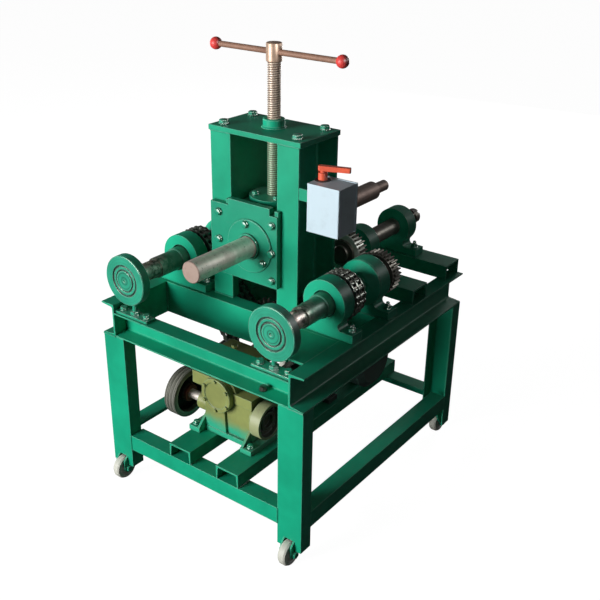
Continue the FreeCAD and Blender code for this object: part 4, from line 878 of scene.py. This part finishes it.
def makeChain():
    kind = chain
    pins, _ = chainPins(closedIdler())
    if len(pins) % 2:
        pins.pop()
    rollerSeats, pinSeats, innerSeats, outerSeats = [], [], [], []
    middleY = kind["firstStrandY"] + kind["strandPitch"] / 2
    for index, ((x, z), (nextX, nextZ)) in enumerate(zip(pins, pins[1:] + pins[:1])):
        turn = (0.0, -math.atan2(nextZ - z, nextX - x), 0.0)
        pinSeats.append((at(x, middleY, z), turn))
        plateSeats, share = (outerSeats, "outerShare") if index % 2 else (innerSeats, "innerShare")
        offset = kind["innerHalf"] + kind["plate"] * kind[share]
        for strand in (0, 1):
            y = kind["firstStrandY"] + strand * kind["strandPitch"]
            rollerSeats.append((at(x, y, z), turn))
            for side in (-1, 1):
                plateSeats.append((at((x + nextX) / 2, y + side * offset, (z + nextZ) / 2), turn))
    span = kind["strandPitch"] + 2 * kind["innerHalf"] + kind["spanPlates"] * kind["plate"] + kind["pinEnd"]
    roller = barrel("chainRoller", kind["roller"], kind["rollerLength"], kind["rollerEase"],
                    kind["rollerSteps"])
    pin = barrel("chainPin", kind["pin"], span, kind["pinEase"], kind["pinSteps"])
    copies = [(roller, rollerSeats), (pin, pinSeats),
              (linkPlate("innerPlate", kind["innerHeight"]), innerSeats),
              (linkPlate("outerPlate", kind["outerHeight"]), outerSeats)]
    print("chain links:", len(pins))
    return joined("rollerChain", [repeated(copy.name + "s", copy, seats, "chainSteel")
                                  for copy, seats in copies], "chainSteel")


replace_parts(finished(makeChain(), "stand", 35.0), "drive_chain")


# Bolts: width across the flats and head height for each size; a bolt stands on its seat, along its own Z
bolts = {"m16": (24.0, 10.0), "m12": (18.0, 8.0), "m10": (16.0, 7.0), "sunk": 0.3, "chamfer": 1.6,
         "flatShare": 0.15, "crownShare": 0.44, "washer": 3.0, "washerShare": 0.6, "washerEase": 0.6,
         "washerSteps": 28, "studRadius": 5.6, "studRise": 9.0, "studSunk": 0.5, "studThread": 1.5,
         "threadDepth": 0.9, "studEase": 1.2, "studSteps": 18}
facing = {"up": (0.0, 0.0, 0.0), "front": (math.pi / 2, 0.0, 0.0), "rear": (-math.pi / 2, 0.0, 0.0)}
origin = Vector((0, 0, 0))
hexTurns = [math.pi / 6 * step for step in range(12)]  # corners and middles of flats in turn


def hexLevel(across, height, drop):
    level = []
    for step, turn in enumerate(hexTurns):
        reach, share = (1.0, bolts["flatShare"]) if step % 2 else (math.cos(math.pi / 6), 1.0)
        x, y = polar(across / 2 / reach, turn)
        level.append(Vector((mm(x), mm(y), mm(height - drop * share))))
    return level


def makeBolt(size, stud, finish):
    across, height = bolts[size]
    thick, wide, ease = bolts["washer"], across * bolts["washerShare"], bolts["washerEase"]
    shape = bmesh.new()
    lathe(shape, [(0, 0), (0, wide), (thick - ease, wide), (thick, wide - ease), (thick, 0)], origin,
          along["z"], bolts["washerSteps"])
    foot, top = thick - bolts["sunk"], thick + height
    crown = [polar(across * bolts["crownShare"], turn) for turn in hexTurns]
    stack(shape, [[along["z"] * mm(foot)], hexLevel(across, foot, 0), hexLevel(across, top, bolts["chamfer"]),
                  [Vector((mm(x), mm(y), mm(top))) for x, y in crown], [along["z"] * mm(top)]])
    if stud:
        radius, pitch, end = bolts["studRadius"], bolts["studThread"], top + bolts["studRise"]
        start = top - bolts["studSunk"]
        rows = [(start, 0)]
        for turn in range(int(bolts["studRise"] / pitch)):
            rise = start + turn * pitch
            rows += [(rise, radius - bolts["threadDepth"]), (rise + pitch / 2, radius)]
        rows += [(end, radius - bolts["studEase"]), (end, 0)]
        lathe(shape, rows, origin, along["z"], bolts["studSteps"])
    return pieceFrom("boltShape", shape, finish)


def boltPiece(name, places, finish="boltPaint"):
    parts = []
    for size, stud in (("m16", False), ("m12", False), ("m12", True), ("m10", False)):
        seats = [(at(*seat), facing[way]) for seatSize, seatStud, way, seat in places
                 if (seatSize, seatStud) == (size, stud)]
        if seats:
            parts.append(repeated(size + "bolts", makeBolt(size, stud, finish), seats, finish))
    return joined(name, parts, finish)


# Seats of the press block's bolts, taken from the block's plates, covers and collar
blockSeats = {"plateX": (-110.0, 77.0), "plateZ": 773.0, "pitch": 80.0, "frontY": 231.7, "rearY": 443.3,
              "cover": 5.0, "axisZ": 777.0, "coverCircle": 63.0, "coverAngles": (100, 211, 322),
              "collarY": 337.5, "collarZ": 899.0, "collarCircle": 52.0, "collarAngles": (45, 135, 225, 315)}


def blockBoltPlaces():
    kind = blockSeats
    places = []
    for way, y, outward in (("front", kind["frontY"], -1), ("rear", kind["rearY"], 1)):
        places += [("m12", False, way, (x, y, kind["plateZ"] + row * kind["pitch"]))
                   for x in kind["plateX"] for row in (-1, 0, 1)]
        for angle in kind["coverAngles"]:
            x, z = polar(kind["coverCircle"], math.radians(angle))
            places.append(("m12", False, way, (x, y + outward * kind["cover"], kind["axisZ"] + z)))
    for angle in kind["collarAngles"]:
        x, y = polar(kind["collarCircle"], math.radians(angle))
        places.append(("m10", False, "up", (x, kind["collarY"] + y, kind["collarZ"])))
    return places


# Seats of the stand's bolts; those of the pedestals have a stud
frameSeats = {"topX": 124.0, "topY": (276.0, 399.0), "topZ": 1087.0, "rollerX": 257.0, "footX": 77.0,
              "pedestalY": (247.0, 425.0), "footZ": 614.0, "dieX": 141.77, "dieFootX": 68.0,
              "dieY": (567.0, 781.0), "dieZ": 655.0, "rail": (214.0, 24.0, 497.64), "lugX": (-107.0, 99.0),
              "lugY": (107.0, 289.0), "lugZ": 223.0}


def frameBoltPlaces():
    kind = frameSeats
    places = []
    for side in (-1, 1):
        places += [("m16", False, "up", (side * kind["topX"], y, kind["topZ"])) for y in kind["topY"]]
        places += [("m12", True, "up", (kind["dieX"] + side * kind["dieFootX"], y, kind["dieZ"]))
                   for y in kind["dieY"]]
        places += [("m12", True, "up", (roller * kind["rollerX"] + side * kind["footX"], y, kind["footZ"]))
                   for roller in (-1, 1) for y in kind["pedestalY"]]
    return places + [("m12", False, "up", (x, y, kind["lugZ"])) for x in kind["lugX"] for y in kind["lugY"]]


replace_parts(finished(boltPiece("pressBlockBolts", blockBoltPlaces()), "press_block"),
            "block_bolts")
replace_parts(finished(boltPiece("standBolts", frameBoltPlaces()), "stand"), "frame_bolts")
railPlaces = [("m12", False, "up", frameSeats["rail"])]
finished(boltPiece("railBolt", railPlaces, "oiledSteel"), "stand")
print("bolts seated")


# Weld beads, each along a straight joint of the stand
welds = {"radius": 0.0028, "ripple": 0.16, "columnX": (80.0, 150.0), "columnY": (250.0, 425.0), "bed": 590.0,
         "plateZ": 1073.0, "railX": 280.0, "railZ": (116.0, 164.0), "sideX": 360.0, "legX": 356.8,
         "legY": (43.0, 787.0), "legTop": 490.0, "webX": 312.0, "beam": (311.0, 214.0, 496.0, 584.0),
         "driveX": (315.0, 350.0), "driveY": 532.0, "baseX": (-116.0, -36.0, 62.0, 142.0),
         "baseY": (4.0, 46.0)}


def weldLines():
    kind = welds
    inner, outer = kind["columnX"]
    front, rear = kind["columnY"]
    low, high = kind["railZ"]
    beamX, beamY, beamLow, beamHigh = kind["beam"]
    start, end = kind["driveX"]
    sided = []
    for z in (kind["bed"], kind["plateZ"]):
        sided += [((inner, front, z), (outer, front, z)), ((outer, front, z), (outer, rear, z))]
    sided += [((kind["railX"], 0, low), (kind["railX"], 0, high)),
              ((kind["webX"], 0, kind["legTop"]), (kind["sideX"], 0, kind["legTop"])),
              ((beamX, beamY, beamLow), (beamX, beamY, beamHigh)),
              ((start, kind["driveY"], kind["bed"]), (end, kind["driveY"], kind["bed"]))]
    sided += [((kind["legX"], y, low), (kind["legX"], y, high)) for y in kind["legY"]]
    lines = [[(side * x, y, z) for x, y, z in line] for side in (-1, 1) for line in sided]
    return lines + [[(x, y, high) for y in kind["baseY"]] for x in kind["baseX"]]


def makeWelds():
    places = [at(*end) for line in weldLines() for end in line]
    pairs = [(index, index + 1) for index in range(0, len(places), 2)]
    return flatten(nodesPiece("weldBeads", places, pairs, beadTree,
                              {"Radius": welds["radius"], "Ripple": welds["ripple"],
                               "Finish": finishes["castPaint"]}))


finished(makeWelds(), "stand", 60.0)
print("welds laid")


# Shaft seals in the press block's covers, and the switch's dial ring and back plate
trims = {"sealX": 0.0, "sealZ": 777.0, "sealInner": 31.6, "sealOuter": 36.9, "sealFront": 220.5,
         "sealRear": 454.5, "sealDepth": 20.0, "sealEase": 1.0, "sealSteps": 64, "dialInner": 8.0,
         "dialOuter": 21.0, "dialRise": 1.8, "dialEase": 0.5, "dial": (221.0, 256.0, 1003.0),
         "plateLow": (203.2, 286.0, 874.2), "plateHigh": (304.8, 290.4, 1004.4)}


def makeSeals():
    kind = trims
    inner, outer, depth, ease = (kind["seal" + part] for part in ("Inner", "Outer", "Depth", "Ease"))
    shape = bmesh.new()
    for y, axis in ((kind["sealFront"], along["y"]), (kind["sealRear"], -along["y"])):
        lathe(shape, [(0, inner + ease), (0, outer), (depth, outer), (depth, inner), (ease, inner),
                      (0, inner + ease)], at(kind["sealX"], y, kind["sealZ"]), axis, kind["sealSteps"])
    return pieceFrom("shaftSeals", shape, "castPaint")


def makeDial():
    inner, outer, rise, ease = (trims["dial" + part] for part in ("Inner", "Outer", "Rise", "Ease"))
    shape = bmesh.new()
    lathe(shape, [(0, inner), (0, outer), (rise - ease, outer), (rise, outer - ease), (rise, inner),
                  (0, inner)], at(*trims["dial"]), along["z"])
    return pieceFrom("switchDial", shape, "sealRubber")


def makeBackPlate():
    low, high = at(*trims["plateLow"]), at(*trims["plateHigh"])
    shape = bmesh.new()
    bmesh.ops.create_cube(shape, matrix=Matrix.LocRotScale((low + high) / 2, None, high - low))
    return pieceFrom("switchBackPlate", shape, "switchPlastic")


finished(makeSeals(), "press_block")
finished(makeDial(), "stand")
finished(makeBackPlate(), "stand")
print("trims made")


# Floor, lamps, world and camera; the glint and shine lamps only put highlights on the steel
stageSizes = {"floor": 60.0, "floorColour": 0.18, "floorRoughness": 0.9, "floorGlow": 0.97, "world": 0.030,
              "glossyWorld": 0.12, "aim": (0.0, -0.1, 0.7)}
lamps = {
    "keyLight": {"place": (-2.3, -6.0, 1.6), "size": 3.6, "power": 560.0, "diffuse": True},
    "sideLight": {"place": (-4.2, 0.6, 1.0), "size": 1.6, "power": 20.0, "diffuse": True},
    "backLight": {"place": (-0.6, 5.2, 1.0), "size": 2.0, "power": 90.0, "diffuse": True},
    "glintLight": {"place": (2.45, 2.40, 2.40), "size": 1.4, "power": 50.0, "diffuse": False},
    "shineLight": {"place": (3.0, -1.0, 2.6), "size": 1.2, "power": 115.0, "diffuse": False},
}
white = (1.0, 1.0, 1.0, 1.0)


def makeFloor():
    half = stageSizes["floor"] / 2
    shape = bmesh.new()
    shape.faces.new([shape.verts.new((x, y, 0.0)) for x, y in ((-half, -half), (half, -half), (half, half),
                                                               (-half, half))])
    material, tree, shader = freshMaterial("paleFloor", specular=0.0)
    seen = addNode(tree, "ShaderNodeLightPath")["Is Camera Ray"]
    feedAll(tree, shader, {"Base Color": rgba((stageSizes["floorColour"],) * 3), "Emission Color": white,
                           "Roughness": stageSizes["floorRoughness"],
                           "Emission Strength": times(tree, seen, stageSizes["floorGlow"])})
    floor = meshPiece("floor", shape, material)


def makeLamp(name):
    kind = lamps[name]
    data = bpy.data.lights.new(name, "AREA")
    data.shape = "DISK"
    data.size = kind["size"]
    data.energy = kind["power"]
    lamp = linked(name, data)
    lamp.location = kind["place"]
    lamp.visible_diffuse = kind["diffuse"]
    lamp.rotation_mode = "QUATERNION"
    lamp.rotation_quaternion = (Vector(stageSizes["aim"]) - Vector(kind["place"])).to_track_quat("-Z", "Y")


def makeWorld():
    world = bpy.data.worlds.new("studio")
    bpy.context.scene.world = world
    world.use_nodes = True
    tree = world.node_tree
    path = addNode(tree, "ShaderNodeLightPath")
    seen = maths(tree, "MAXIMUM", path["Is Camera Ray"], path["Is Transmission Ray"])
    mirrored = times(tree, path["Is Glossy Ray"], stageSizes["glossyWorld"] - stageSizes["world"])
    power = maths(tree, "MAXIMUM", seen, plus(tree, mirrored, stageSizes["world"]))
    feedAll(tree, tree.nodes["Background"].inputs, {"Color": white, "Strength": power})


camera = {"place": (1.4525, -1.95555, 1.6822), "azimuth": 36.3, "elevation": 25.24, "roll": 0.94,
          "focalPixels": 887.5, "framePixels": 600.0, "sensor": 36.0}


def makeCamera():
    data = bpy.data.cameras.new("studioCamera")
    data.sensor_width = camera["sensor"]
    data.lens = camera["focalPixels"] / camera["framePixels"] * camera["sensor"]
    view = linked("studioCamera", data)
    seat = Matrix.Translation(camera["place"])
    for angle, axis in ((camera["azimuth"], "Z"), (90 - camera["elevation"], "X"), (camera["roll"], "Z")):
        seat = seat @ Matrix.Rotation(math.radians(angle), 4, axis)
    view.matrix_world = seat
    bpy.context.scene.camera = view


makeFloor()
for name in lamps:
    makeLamp(name)
makeWorld()
makeCamera()
bpy.context.scene.view_settings.view_transform = "Standard"
print("stage set")
